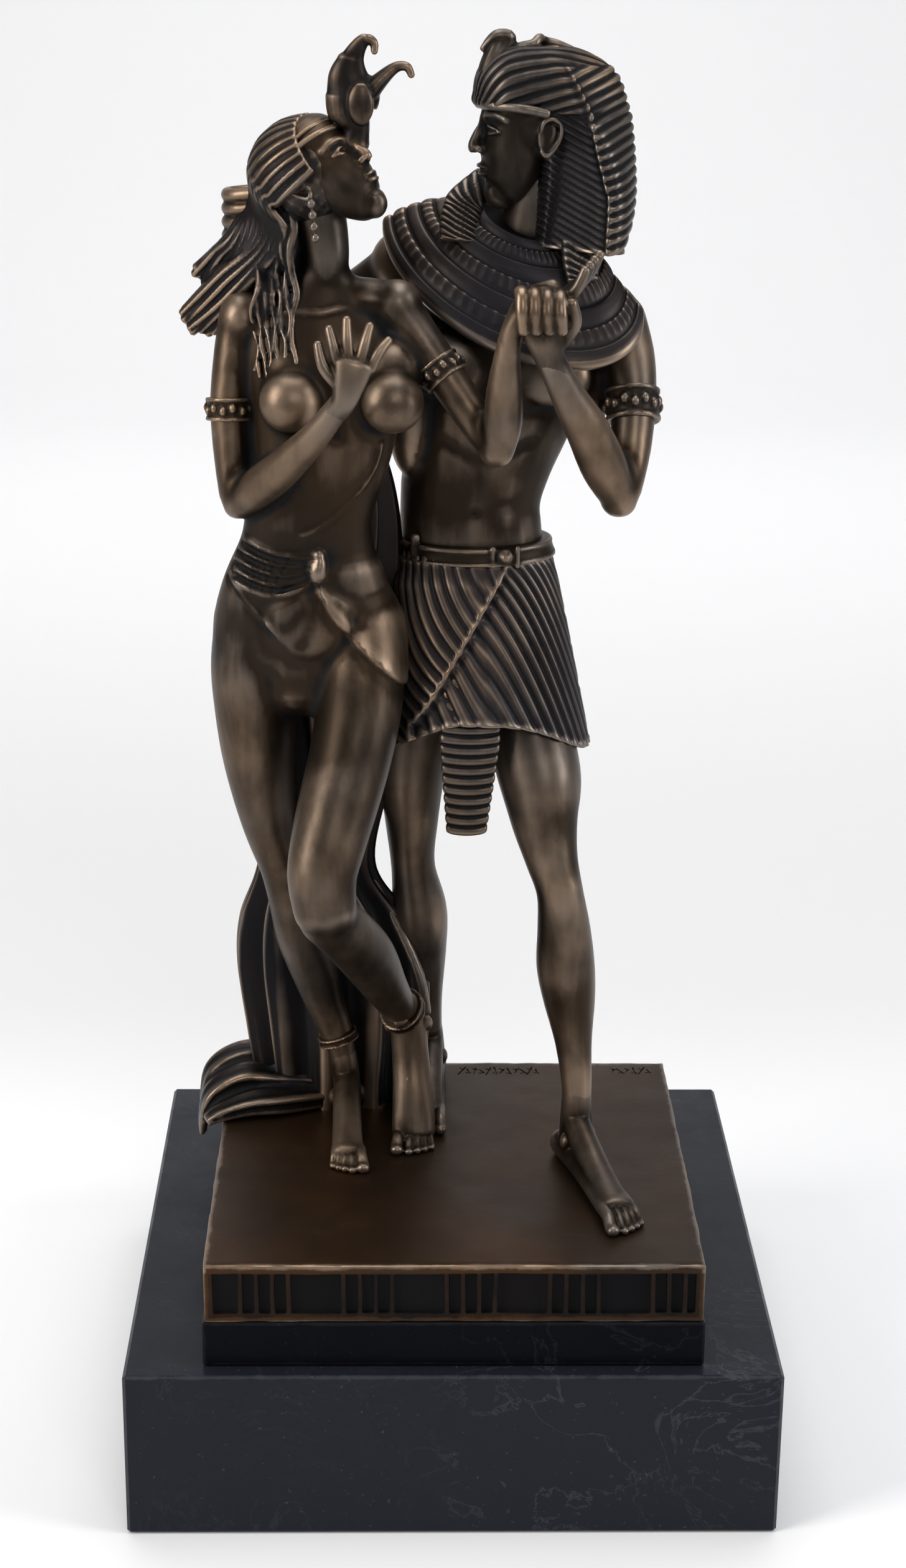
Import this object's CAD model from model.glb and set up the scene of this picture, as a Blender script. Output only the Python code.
"""Egyptian couple statue: the bronze couple, their base and the black marble plinth."""
import math

import bmesh
import bpy
import numpy as np
from mathutils import Matrix, Vector, noise


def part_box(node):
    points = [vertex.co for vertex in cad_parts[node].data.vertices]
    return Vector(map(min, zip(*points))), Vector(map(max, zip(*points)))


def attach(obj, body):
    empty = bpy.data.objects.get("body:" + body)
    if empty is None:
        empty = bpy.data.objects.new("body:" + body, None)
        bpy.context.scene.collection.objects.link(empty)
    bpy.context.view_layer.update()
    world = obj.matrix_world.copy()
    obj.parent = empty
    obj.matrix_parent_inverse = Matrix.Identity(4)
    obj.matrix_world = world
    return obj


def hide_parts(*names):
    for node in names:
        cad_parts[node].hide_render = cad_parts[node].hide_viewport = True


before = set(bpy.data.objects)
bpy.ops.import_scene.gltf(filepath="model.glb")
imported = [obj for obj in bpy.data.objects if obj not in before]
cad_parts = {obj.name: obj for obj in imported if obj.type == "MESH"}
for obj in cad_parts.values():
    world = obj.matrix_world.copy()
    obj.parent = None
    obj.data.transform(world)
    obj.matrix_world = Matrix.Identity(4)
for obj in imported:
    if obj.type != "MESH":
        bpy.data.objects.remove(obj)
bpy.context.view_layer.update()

bl_info = {
    "name": "Egyptian couple statue",
    "version": (1, 0, 0),
    "blender": (4, 5, 0),
    "location": "3D View > Sidebar > Statue",
    "description": "Builds a patinated bronze couple on a stepped black marble plinth",
    "category": "Add Mesh",
}

GROUP_HEIGHT = 0.268
GRID = 268
BASE_TOP = 0.0682
SCALE = GROUP_HEIGHT / GRID


# Curves, skins and simple forms

def unit(v):
    v = np.asarray(v, float)
    return v / np.linalg.norm(v)


def smooth_rows(rows, steps):
    """Rows of numbers joined by a smooth curve through each of them."""
    rows = np.asarray(rows, float)
    if len(rows) < 3 or steps < 2:
        return rows
    out = []
    for i in range(len(rows) - 1):
        a = rows[max(i - 1, 0)]
        b = rows[i]
        c = rows[i + 1]
        d = rows[min(i + 2, len(rows) - 1)]
        m1 = (c - a) / 2
        m2 = (d - b) / 2
        for k in range(steps):
            t = k / steps
            out.append((2 * t**3 - 3 * t**2 + 1) * b + (t**3 - 2 * t**2 + t) * m1
                       + (-2 * t**3 + 3 * t**2) * c + (t**3 - t**2) * m2)
    out.append(rows[-1])
    return np.array(out)


def skin(rings):
    """A closed skin over rings of equal count, with a fan at each end."""
    rings = np.asarray(rings, float)
    n, m, _ = rings.shape
    verts = np.vstack([rings.reshape(-1, 3), rings[0].mean(axis=0), rings[-1].mean(axis=0)])
    i, j = np.meshgrid(np.arange(n - 1), np.arange(m), indexing="ij")
    k = (j + 1) % m
    quads = np.stack([i * m + j, i * m + k, (i + 1) * m + k, (i + 1) * m + j], axis=-1).reshape(-1, 4)
    j = np.arange(m)
    k = (j + 1) % m
    low = np.stack([np.full(m, n * m), k, j], axis=1)
    high = np.stack([np.full(m, n * m + 1), (n - 1) * m + j, (n - 1) * m + k], axis=1)
    return verts, quads.tolist() + low.tolist() + high.tolist()


def limb(rows, side=(1, 0, 0), steps=6, sides=24, round_ends=(True, True)):
    """A round form along rows of (x, y, z, half width, half depth)."""
    rows = smooth_rows(rows, steps)
    pts = rows[:, :3]
    across = rows[:, 3]
    deep = rows[:, 4]
    tang = np.gradient(pts, axis=0)
    frames = []
    for i in range(len(rows)):
        t = unit(tang[i])
        s = np.asarray(side, float)
        s = unit(s - t * np.dot(s, t))
        frames.append((t, s, np.cross(t, s)))
    ang = np.linspace(0, 2 * math.pi, sides, endpoint=False)

    def ring(i, scale, shift):
        t, s, d = frames[i]
        return (pts[i] + t * shift + scale * (np.outer(np.cos(ang), s) * across[i]
                                              + np.outer(np.sin(ang), d) * deep[i]))

    cap = ((0.30, 0.96), (0.55, 0.84), (0.78, 0.62), (0.94, 0.34))
    rings = []
    if round_ends[0]:
        r = min(across[0], deep[0])
        rings += [ring(0, scale, -out * r) for out, scale in reversed(cap)]
    rings += [ring(i, 1.0, 0.0) for i in range(len(rows))]
    if round_ends[1]:
        r = min(across[-1], deep[-1])
        rings += [ring(len(rows) - 1, scale, out * r) for out, scale in cap]
    return skin(rings)


def ball(centre, radii, up=(0, 0, 1), side=(1, 0, 0), rows=14, sides=24):
    """An ellipsoid with radii (side, depth, up)."""
    u = unit(up)
    s = np.asarray(side, float)
    s = unit(s - u * np.dot(s, u))
    d = np.cross(u, s)
    ang = np.linspace(0, 2 * math.pi, sides, endpoint=False)
    rings = []
    for k in range(1, rows):
        a = math.pi * k / rows - math.pi / 2
        c = np.asarray(centre, float) + u * (radii[2] * math.sin(a))
        rings.append(c + math.cos(a) * (np.outer(np.cos(ang), s) * radii[0]
                                        + np.outer(np.sin(ang), d) * radii[1]))
    return skin(rings)


def half_axis_ring(centre, side, front, back, sides=48, relief=None):
    """A ring about a centre from half axes: to the side, to the front and to the back."""
    ang = np.linspace(0, 2 * math.pi, sides, endpoint=False)
    c = np.asarray(centre, float)
    s = np.asarray(side, float)
    f = np.asarray(front, float)
    b = np.asarray(back, float)
    sn = np.sin(ang)[:, None]
    off = np.cos(ang)[:, None] * s + np.where(sn > 0, sn * f, -sn * b)
    if relief is not None:
        off = off * (1.0 + relief(ang) / np.maximum(np.linalg.norm(off, axis=1), 0.1))[:, None]
    return c + off


class Head:
    """A place, a facing and a size, for forms laid out in shares of the head's height."""

    def __init__(self, centre, forward, up, height):
        self.c = np.asarray(centre, float)
        self.u = unit(up)
        f = np.asarray(forward, float)
        self.f = unit(f - self.u * np.dot(f, self.u))
        self.l = np.cross(self.u, self.f)
        self.h = height

    def p(self, f, l, u):
        return self.c + self.h * (self.f * f + self.l * l + self.u * u)

    def path(self, points):
        return [self.p(*q) for q in points]

    def limb(self, rows, side="l", steps=5, sides=16, round_ends=(True, True)):
        world = []
        for f, l, u, a, b in rows:
            world.append(list(self.p(f, l, u)) + [a * self.h, b * self.h])
        axis = {"f": self.f, "l": self.l, "u": self.u}[side]
        return limb(world, side=axis, steps=steps, sides=sides, round_ends=round_ends)

    def ball(self, f, l, u, rf, rl, ru):
        return ball(self.p(f, l, u), (self.h * rf, self.h * rl, self.h * ru),
                    up=self.u, side=self.f)


def foot(ankle, heel, fore, width):
    """A foot flat on the ground, with its arch and its ankle bones."""
    ankle, heel, fore = (np.asarray(p, float) for p in (ankle, heel, fore))
    along = unit(fore - heel)
    across = unit(np.cross(along, (0, 0, 1)))
    mid = ankle * 0.5 + fore * 0.5
    return [
        limb([(*heel + (0, 0, 3.0), 3.2, 3.4),
              (*(heel * 0.6 + fore * 0.4 + (0, 0, 3.2)), 3.4, 3.6),
              (*(heel * 0.25 + fore * 0.75 + (0, 0, 2.8)), width * 0.88, 3.0),
              (*(fore + (0, 0, 2.2)), width, 2.5)], side=across),
        limb([(*(ankle - along * 3.2 + (0, 0, 9.0)), 2.5, 2.8),
              (*(ankle - along * 0.8 + (0, 0, 3.0)), 3.3, 3.5),
              (*(mid[:2]), 5.4, 3.6, 3.3),
              (*(fore[:2] * 0.85 + mid[:2] * 0.15), 3.0, 3.9, 2.1)], side=across),
        ball(ankle + across * 2.7 + (0, 0, -1.0), (1.9, 2.1, 2.3)),
        ball(ankle - across * 2.7 + (0, 0, 0.2), (1.9, 2.1, 2.3)),
    ]


TOES = ((0.80, 1.62, 0.0), (0.22, 1.06, -0.2), (-0.19, 1.00, 0.6), (-0.55, 0.92, 1.5), (-0.87, 0.86, 2.6))


def toes(heel, fore, tip, width, inner):
    """Five toes in front of the ball of a foot, the big one on the inner side."""
    heel, fore, tip = (np.asarray(p, float) for p in (heel, fore, tip))
    along = unit(tip - heel)
    across = unit(np.cross(along, (0, 0, 1))) * inner
    out = []
    for place, r, short in TOES:
        side = across * place * width
        root = fore - along * 1.0 + side * 0.85 + (0, 0, 2.4)
        end = tip + side - along * short + (0, 0, r * 0.85)
        knuckle = root * 0.45 + end * 0.55 + (0, 0, 0.75)
        out.append(limb([(*root, r * 0.95, r), (*knuckle, r * 0.88, r * 0.95),
                         (*(end - along * 1.4), r * 0.95, r * 0.85), (*end, r * 0.98, r * 0.80)], side=across))
    return out


def fingers(roots, mids, tips, radius):
    out = []
    for a, b, c in zip(roots, mids, tips):
        out.append(limb([(*a, radius * 1.1, radius * 1.1), (*b, radius, radius),
                         (*c, radius * 0.8, radius * 0.8)], side=(0.3, 1, 0.1)))
    return out


MAN_TORSO = [
    (5.5, 7, 118, 17.0, 10.6),
    (5.3, 7.4, 130, 17.6, 11.4),
    (4.4, 8.0, 142, 17.2, 11.6),
    (3.8, 8, 151, 16.9, 11.4),
    (3.6, 8, 160, 16.6, 10.8),
    (5.2, 8, 170, 17.8, 11.4),
    (7.6, 8, 180, 19.6, 12.4),
    (10.0, 8, 190, 21.5, 13.3),
    (12.4, 8, 200, 22.5, 13.2),
    (13.6, 8.5, 208, 20.5, 11.6),
    (14.4, 8.5, 214, 13.5, 9.4)]


WOMAN_TORSO = [
    (-34.5, -5, 122, 19.0, 12.0),
    (-34.6, -5.5, 128, 22.0, 13.0),
    (-35.0, -6, 135, 21.6, 12.6),
    (-35.1, -7, 142, 19.4, 11.6),
    (-34.4, -8, 152, 15.8, 9.8),
    (-34.0, -9, 159, 14.6, 9.2),
    (-32.8, -9, 166, 14.9, 9.4),
    (-31.2, -9, 174, 16.0, 10.0),
    (-30.2, -8.5, 183, 17.2, 10.4),
    (-30.3, -8, 192, 18.0, 10.2),
    (-31.2, -7, 200, 17.6, 9.0),
    (-31.0, -6.5, 206, 14.6, 7.4),
    (-30.2, -6, 211, 8.6, 6.2)]


MAN_HEAD = Head((17.0, 4.0, 244.3), (-0.97, -0.15, 0.0), (0.02, 0, 1), 31.5)


WOMAN_HEAD = Head((-30.0, -8.2, 235.2), (0.64, -0.36, 0.68), (-0.58, 0.30, 0.75), 27.5)


def man_figure():
    out = [limb(MAN_TORSO)]
    # chest, belly and back
    out.append(ball((-1.5, -2.5, 193), (10.5, 4.5, 8.0), up=(0.2, 0, 1)))
    out.append(ball((20.5, -2.5, 191), (10.5, 4.5, 8.0), up=(0.2, 0, 1)))
    for s in (-1, 1):
        for k, z in enumerate((157, 166, 175)):
            out.append(ball((4.2 + 4.3 * s + 1.0 * k, -0.5, z), (5.2, 1.8, 5.4)))
    # neck
    out.append(limb([(14.4, 8.5, 208, 10.0, 8.5), (14.8, 8, 216, 7.6, 7.4), (16.5, 7, 224, 6.8, 7.0),
                     (18.5, 6.5, 233, 6.8, 7.0)]))
    # shoulders
    out.append(ball((34.8, 4.5, 201.6), (8.0, 8.2, 8.6)))
    out.append(ball((-12.0, 14, 213), (8.2, 8.2, 8.6)))
    out.append(limb([(13, 8, 211, 8, 8), (25, 7, 208, 8, 7.5), (34, 5, 204, 7.5, 7.5)], side=(0, 1, 0)))
    out.append(limb([(13, 8, 211, 8, 8), (1, 11, 213, 8, 7.5), (-10, 14, 214, 7.5, 7.5)], side=(0, 1, 0)))
    # left arm, bent up to the clasped hands
    out.append(limb([(36.5, 4, 202, 7.0, 7.6), (39.2, 1.5, 194, 6.3, 7.0), (40.3, -2, 186, 5.4, 6.2),
                     (39.8, -7, 176, 4.8, 5.4), (37.8, -11.2, 167, 4.6, 4.7)]))
    out.append(ball((31.5, 6.0, 188), (6.0, 8, 13), up=(0.25, 0, 1)))
    out.append(ball((-10.0, 4.5, 182), (6.5, 6.5, 17)))
    out.append(ball((37.0, -12.0, 164.0), (4.3, 4.2, 3.9)))
    out.append(limb([(36.8, -12.7, 165.5, 4.4, 4.4), (33.0, -16.7, 173, 5.4, 4.9),
                     (28.6, -21.5, 182.5, 5.0, 4.4), (23.6, -26, 191.5, 3.9, 3.5),
                     (19.6, -29.5, 200, 3.3, 2.9)], side=(0.7, 0.3, 0.6)))
    # right arm, behind the woman's back and up to her hair
    out.append(limb([(-12, 15, 213, 7.0, 7.0), (-21, 18.5, 206, 6.3, 6.6), (-33, 20, 199, 5.4, 5.8),
                     (-42.5, 19.5, 196, 4.8, 5.0)], side=(0, 1, 0)))
    out.append(limb([(-42.5, 19.5, 196, 4.8, 4.8), (-46.5, 17, 203, 5.0, 4.6),
                     (-48.5, 12.5, 211, 4.4, 4.0), (-49.0, 7.5, 218.5, 3.4, 3.0)], side=(1, 0, 0)))
    # left leg, forward
    out.append(limb([(13.4, 5, 132, 9.6, 9.8), (15.2, 1, 120, 10.0, 10.4), (17.8, -4.0, 107, 10.2, 11.0),
                     (20.5, -8.8, 95.5, 9.9, 10.8), (21.6, -12, 86, 8.0, 9.0), (23.2, -15, 78, 6.4, 7.2),
                     (25.3, -16.6, 70, 5.6, 6.2), (26.6, -15.2, 60, 6.4, 7.0), (27.3, -13.6, 50, 7.1, 7.8),
                     (28.4, -13.8, 41, 6.4, 7.0), (29.6, -16, 30, 4.5, 5.2), (30.5, -18.4, 19, 3.7, 4.3),
                     (30.4, -19, 11, 3.4, 4.1), (30.0, -18.5, 5, 3.0, 3.8)]))
    out.append(ball((25.4, -19.6, 71.5), (4.2, 3.0, 5.4)))
    # right leg, behind
    out.append(limb([(-2.4, 6.5, 132, 9.6, 9.4), (-3.8, 7.6, 118, 9.8, 9.6), (-7.4, 9.6, 105, 9.2, 9.4),
                     (-9.7, 12.0, 90, 8.1, 9.2), (-9.9, 13, 77, 6.6, 7.8), (-9.5, 13.6, 65, 5.5, 6.4),
                     (-7.8, 17, 52, 6.9, 7.8), (-7.1, 20, 41, 6.3, 7.2), (-6.2, 24, 26, 4.5, 5.2),
                     (-5.2, 26.6, 15, 3.5, 4.2), (-4.4, 28, 5, 3.0, 3.8)]))
    out.append(ball((-9.4, 10.3, 67), (4.2, 2.0, 6.8)))
    return out


def feet():
    """The four feet, each with the end of its leg."""
    return (foot((30.8, -22, 8), (27.6, -15.5, 0), (38.2, -47, 0), 4.9)
            + toes((27.6, -15.5, 0), (38.2, -47, 0), (40.8, -56.4, 0), 4.9, 1)
            + [limb([(30.2, -17.4, 24, 3.4, 4.0), (30.5, -18.4, 19, 3.6, 4.2), (30.4, -19, 10, 3.9, 4.6),
                     (30.0, -18.5, 4, 3.7, 4.6)])]
            + foot((-4.8, 24, 8), (-3.6, 31, 0), (-5.6, 3, 0), 4.6)
            + toes((-3.6, 31, 0), (-5.6, 3, 0), (-6.2, -5, 0), 4.6, -1)
            + [limb([(-5.6, 25.5, 19, 3.3, 4.0), (-5.0, 27, 13, 3.6, 4.3), (-4.4, 28, 4, 3.8, 4.6)])]
            + foot((-26.0, 3.6, 7.2), (-26.0, 9.5, 0), (-25.4, -19.5, 0), 4.2)
            + toes((-26.0, 9.5, 0), (-25.4, -19.5, 0), (-25.0, -26.2, 0), 4.4, -1)
            + [limb([(-28.2, 7.2, 20.5, 3.1, 3.7), (-26.8, 6.8, 15, 3.4, 4.0), (-26.0, 6.6, 8, 3.5, 4.2),
                     (-25.8, 6.8, 3.5, 3.4, 4.2)])]
            + toes((-9.4, 0, 0), (-9.2, -8.8, 0), (-9.2, -16.4, 0), 5.2, 1)
            + [limb([(-11.6, 0.4, 32.5, 4.0, 4.4), (-10.6, 0.4, 26.5, 4.5, 4.6), (-10.0, -1.6, 20.0, 4.6, 4.2),
                     (-9.5, -4.8, 13.5, 4.9, 3.8), (-9.2, -7.6, 7.6, 5.3, 3.3), (-9.2, -10.0, 3.4, 5.4, 2.6)]),
               ball((-15.0, 1.4, 27.0), (1.7, 1.8, 2.0)), ball((-6.2, 1.2, 27.6), (1.7, 1.8, 2.0))])


def resting_hand():
    """The man's right hand, laid on the woman's hair with its fingers together."""
    out = [limb([(-49.0, 7.5, 218.0, 3.4, 2.8), (-49.6, 6.5, 222.5, 4.6, 2.8),
                 (-49.4, 4.5, 227.5, 4.4, 2.6)], side=(0.2, 1, 0))]
    for k in range(4):
        z = 221.2 + 3.0 * k
        out.append(limb([(-46.2, 8.5, z + 0.4, 1.5, 1.5), (-51.8, 4.0, z + 0.2, 1.6, 1.5),
                         (-50.2, -1.0, z + 0.5, 1.5, 1.4), (-44.6, -4.0, z + 1.2, 1.4, 1.2)],
                        side=(0, 0, 1)))
    return out


def clasped_hands():
    """The man's left hand closed round the woman's raised left hand."""
    out = [limb([(23.6, -26.0, 191.5, 3.3, 3.0), (21.4, -27.9, 196.0, 3.35, 3.0),
                 (19.6, -29.5, 199.8, 3.4, 2.95), (18.4, -31.5, 204.5, 4.4, 3.2),
                 (17.6, -32.6, 209.5, 5.2, 3.6), (17.0, -32.6, 213.0, 5.0, 3.0)], side=(1, 0, 0.1))]
    for k in range(4):
        x = 12.9 + 2.75 * k
        out.append(limb([(x, -31.5, 214.3, 1.6, 1.5), (x + 0.1, -35.2, 214.4 - 0.3 * k, 1.6, 1.5),
                         (x + 0.2, -36.9, 210.8 - 0.2 * k, 1.5, 1.4), (x + 0.6, -35.9, 206.8, 1.3, 1.2)],
                        side=(1, 0, 0)))
    out.append(limb([(21.8, -30.5, 203.5, 2.0, 1.9), (24.2, -33.5, 208.0, 1.9, 1.8),
                     (23.6, -35.4, 212.5, 1.5, 1.4)], side=(1, 0, 0)))
    # the woman's hand passes through it, her fingers above
    out.append(limb([(10.3, -27.0, 198.5, 2.6, 2.4), (10.8, -28.5, 202.5, 2.65, 2.5),
                     (11.4, -29.7, 206.0, 2.6, 2.45), (14.6, -31.0, 211.5, 3.4, 2.4),
                     (20.2, -31.6, 213.6, 3.8, 2.2)], side=(0, 0.4, 1)))
    for k in range(4):
        out.append(limb([(21.0 + 0.5 * k, -33.2 + 1.4 * k, 212.2 + 0.5 * k, 1.4, 1.3),
                         (24.6 + 0.9 * k, -33.8 + 1.5 * k, 215.2 + 0.8 * k, 1.3, 1.2),
                         (26.6 + 1.1 * k, -33.4 + 1.5 * k, 219.4 + 0.9 * k, 1.1, 1.0)],
                        side=(1, 0, 0)))
    return out


def open_hand():
    """The woman's right hand, spread over her breast."""
    out = [limb([(-31.4, -28.8, 182.4, 2.7, 2.4), (-28.2, -31.2, 186.8, 2.8, 2.5),
                 (-25.4, -33.4, 190.5, 2.8, 2.4), (-24.2, -34.0, 194.5, 3.6, 2.2),
                 (-23.2, -33.8, 198.5, 4.4, 2.0)], side=(1, 0, -0.2))]
    roots = ((-26.4, -33.4, 198.4), (-24.2, -33.4, 200.0), (-21.6, -33.4, 199.8), (-19.4, -33.2, 198.2))
    mids = ((-27.4, -33.2, 202.6), (-24.5, -33.2, 204.4), (-20.6, -33.0, 203.6), (-17.6, -32.6, 201.4))
    tips = ((-28.4, -32.2, 206.2), (-24.6, -32.2, 208.2), (-19.6, -31.8, 206.8), (-15.6, -31.2, 203.6))
    out += fingers(roots, mids, tips, 1.25)
    out += fingers([(-26.6, -33.8, 194.6)], [(-29.6, -33.4, 198.2)], [(-30.8, -32.4, 202.8)], 1.35)
    return out


def woman_figure():
    out = [limb(WOMAN_TORSO)]
    for x in (-37.3, -14.8):
        out.append(ball((x, -17.8, 187.6), (7.3, 6.4, 7.2), up=(0, 0.25, 1)))
        out.append(ball((x, -13.4, 193.2), (6.6, 5.4, 8.6), up=(0, 0.5, 1)))
    out.append(ball((-34.0, -15.5, 136), (10.5, 5.5, 10.5)))
    out.append(ball((-45.0, 0.5, 130), (10.5, 8.8, 12.0)))
    out.append(ball((-25.5, 1.0, 130), (10.5, 8.8, 12.0)))
    # neck
    out.append(limb([(-30.4, -6.0, 208, 7.4, 6.4), (-29.8, -6.6, 213, 5.2, 5.4), (-29.6, -7.2, 220, 5.2, 5.6),
                     (-31.2, -6.4, 229, 6.0, 6.4)]))
    # shoulders
    out.append(ball((-48.2, -6, 204), (5.8, 6.2, 6.4)))
    out.append(ball((-13.8, -6.5, 207), (5.8, 6.0, 6.2)))
    out.append(limb([(-31, -6, 207.5, 5.6, 5.4), (-40, -6, 206.5, 5.6, 5.0), (-47, -6, 205, 5.2, 5.0)],
                    side=(0, 1, 0)))
    out.append(limb([(-31, -6, 207.5, 5.6, 5.4), (-22, -6, 208.5, 5.6, 5.0), (-15, -6, 207.5, 5.2, 5.0)],
                    side=(0, 1, 0)))
    # right arm, folded up to her breast
    out.append(limb([(-49.0, -6, 204, 5.0, 5.4), (-50.6, -7.2, 195, 4.7, 5.2), (-51.5, -8.6, 185, 4.6, 5.0),
                     (-51.4, -10.2, 175, 4.1, 4.6), (-50.4, -12, 165.5, 3.9, 4.1)]))
    out.append(ball((-49.6, -12.6, 162.8), (3.8, 3.8, 3.4)))
    out.append(limb([(-49.4, -13, 163.5, 3.9, 3.9), (-45.4, -16.6, 167.2, 4.7, 4.3),
                     (-38.6, -22.6, 174.0, 4.3, 3.9), (-31.4, -28.8, 182.4, 3.3, 3.0),
                     (-25.8, -33.2, 190.4, 2.7, 2.4)], side=(-0.6, 0.2, 0.8)))
    # left arm, down over the man's breast and up to the clasped hands
    out.append(limb([(-14.0, -6.5, 207.5, 5.0, 5.4), (-8.6, -9.4, 200.5, 4.7, 5.2), (-1.8, -12.6, 191, 4.5, 5.0),
                     (4.0, -15.6, 183.0, 4.1, 4.6), (8.2, -17.6, 177.6, 3.9, 4.0)], side=(0.8, 0.1, 0.6)))
    out.append(ball((8.6, -18.2, 176.4), (3.8, 3.8, 3.6)))
    out.append(limb([(8.8, -18.8, 177.0, 3.9, 3.9), (9.8, -21.6, 184.0, 4.5, 4.2),
                     (10.0, -25.0, 192.5, 4.0, 3.7), (10.4, -27.6, 200.0, 3.0, 2.8),
                     (11.2, -29.4, 205.5, 2.6, 2.4)]))
    # right leg, standing
    out.append(limb([(-46.0, -4, 131, 10.6, 12.2), (-46.9, -4, 122, 10.6, 12.2), (-46.9, -3.6, 112, 10.0, 11.4),
                     (-46.5, -3.2, 101, 9.0, 10.4), (-45.3, -2.4, 90, 7.8, 9.2), (-43.6, -1.4, 80, 6.7, 7.8),
                     (-41.0, -0.4, 70, 5.8, 6.6), (-38.8, 1.4, 60.5, 6.1, 6.8), (-37.0, 4.2, 51, 6.5, 7.4),
                     (-34.6, 6.2, 42, 6.1, 7.0), (-31.9, 7.2, 32, 5.0, 5.8), (-29.0, 7.4, 23.5, 4.2, 4.8),
                     (-26.8, 6.8, 15, 3.2, 3.8), (-26.0, 6.6, 8, 2.9, 3.6), (-25.8, 6.8, 4.5, 2.8, 3.5)],
                    steps=5))
    out.append(ball((-40.4, -4.2, 71), (4.4, 3.0, 5.0)))
    # left leg, bent, with its foot on the toes
    out.append(limb([(-22.4, -6, 131, 10.6, 12.0), (-22.3, -9, 124, 10.6, 12.2), (-22.4, -12.4, 115, 10.2, 11.6),
                     (-24.4, -17.4, 104, 9.7, 10.8), (-26.8, -22.6, 95.5, 9.4, 10.0),
                     (-29.2, -27.0, 87, 8.9, 9.2), (-30.8, -30.0, 79, 8.2, 8.2), (-30.2, -31.4, 71.5, 7.5, 7.2)],
                    steps=5))
    out.append(ball((-30.2, -33.6, 71.0), (6.2, 4.6, 6.0)))
    out.append(limb([(-29.6, -30.0, 68.5, 7.0, 6.6), (-25.4, -24.0, 62, 7.0, 7.0), (-20.4, -16.0, 52.5, 6.8, 7.2),
                     (-16.2, -8.0, 41.5, 5.4, 5.8), (-12.9, -1.8, 33.5, 4.2, 4.6)]))
    return out


def front_of(rows, x, z, lift=0.0):
    """A point on the front of a torso at a given x and height."""
    rows = np.asarray(rows, float)
    cx, cy, a, b = (np.interp(z, rows[:, 2], rows[:, k]) for k in (0, 1, 3, 4))
    t = min(abs(x - cx) / a, 0.98)
    return np.array((x, cy - b * math.sqrt(1 - t * t) - lift, z))


def band(centre, along, side, a, b, height, lift=0.7, sides=48):
    """A raised band round a limb, with a rim at each edge."""
    t = unit(along)
    c = np.asarray(centre, float)
    rows = []
    for k, r in ((-0.5, 0.2), (-0.49, 1.0), (-0.36, 1.0), (-0.33, 0.5), (0.33, 0.5), (0.36, 1.0), (0.49, 1.0),
                 (0.5, 0.2)):
        p = c + t * (k * height)
        rows.append((*p, a + lift * r, b + lift * r))
    return limb(rows, side=side, steps=1, sides=sides, round_ends=(False, False))
# Meshes: made, melted into one skin, carved and brought to size

def deselect_all():
    for obj in bpy.context.selected_objects:
        obj.select_set(False)


def make_active(obj):
    deselect_all()
    bpy.context.view_layer.objects.active = obj
    obj.select_set(True)


def joined(shapes):
    verts = []
    faces = []
    base = 0
    for v, f in shapes:
        verts.append(np.asarray(v, float))
        faces.extend([tuple(base + i for i in face) for face in f])
        base += len(v)
    return np.vstack(verts), faces


def mesh_object(name, verts, faces):
    mesh = bpy.data.meshes.new(name)
    mesh.from_pydata(np.asarray(verts, float).tolist(), [], faces)
    obj = bpy.data.objects.new(name, mesh)
    bpy.context.scene.collection.objects.link(obj)
    return obj


def apply_modifier(obj, kind, **settings):
    make_active(obj)
    bpy.ops.object.modifier_add(type=kind)
    mod = obj.modifiers[-1]
    for key, value in settings.items():
        setattr(mod, key, value)
    bpy.ops.object.modifier_apply(modifier=mod.name)


def outward_normals(obj):
    bm = bmesh.new()
    bm.from_mesh(obj.data)
    bmesh.ops.recalc_face_normals(bm, faces=bm.faces)
    bm.to_mesh(obj.data)
    bm.free()


def melted(name, shapes, voxel, passes=4, keep=None):
    """Overlapping forms melted into one even skin, then softened."""
    obj = mesh_object(name, *joined(shapes))
    apply_modifier(obj, "REMESH", mode="VOXEL", voxel_size=voxel)
    apply_modifier(obj, "SMOOTH", factor=0.5, iterations=passes)
    if keep is not None:
        thin_to(obj, keep)
    return obj


def thin_to(obj, count):
    """Fewer triangles where the form is flat, if there are more than the count."""
    have = sum(len(poly.vertices) - 2 for poly in obj.data.polygons)
    if have > count:
        apply_modifier(obj, "DECIMATE", ratio=count / have)


def points_of(obj):
    pts = np.empty(len(obj.data.vertices) * 3, np.float32)
    obj.data.vertices.foreach_get("co", pts)
    return pts.reshape(-1, 3).astype(float)


def normals_of(obj):
    nor = np.empty(len(obj.data.vertices) * 3, np.float32)
    obj.data.vertex_normals.foreach_get("vector", nor)
    return nor.reshape(-1, 3).astype(float)


def set_points(obj, pts):
    obj.data.vertices.foreach_set("co", np.asarray(pts, np.float32).ravel())
    obj.data.update()


def path_distance(pts, path):
    """Each point's distance from a line through the given places."""
    path = np.asarray(path, float).reshape(-1, 3)
    if len(path) == 1:
        return np.linalg.norm(pts - path[0], axis=1)
    best = np.full(len(pts), 1e9)
    for a, b in zip(path[:-1], path[1:]):
        ab = b - a
        t = np.clip(((pts - a) @ ab) / max(ab @ ab, 1e-12), 0, 1)
        best = np.minimum(best, np.linalg.norm(pts - (a + t[:, None] * ab), axis=1))
    return best


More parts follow.
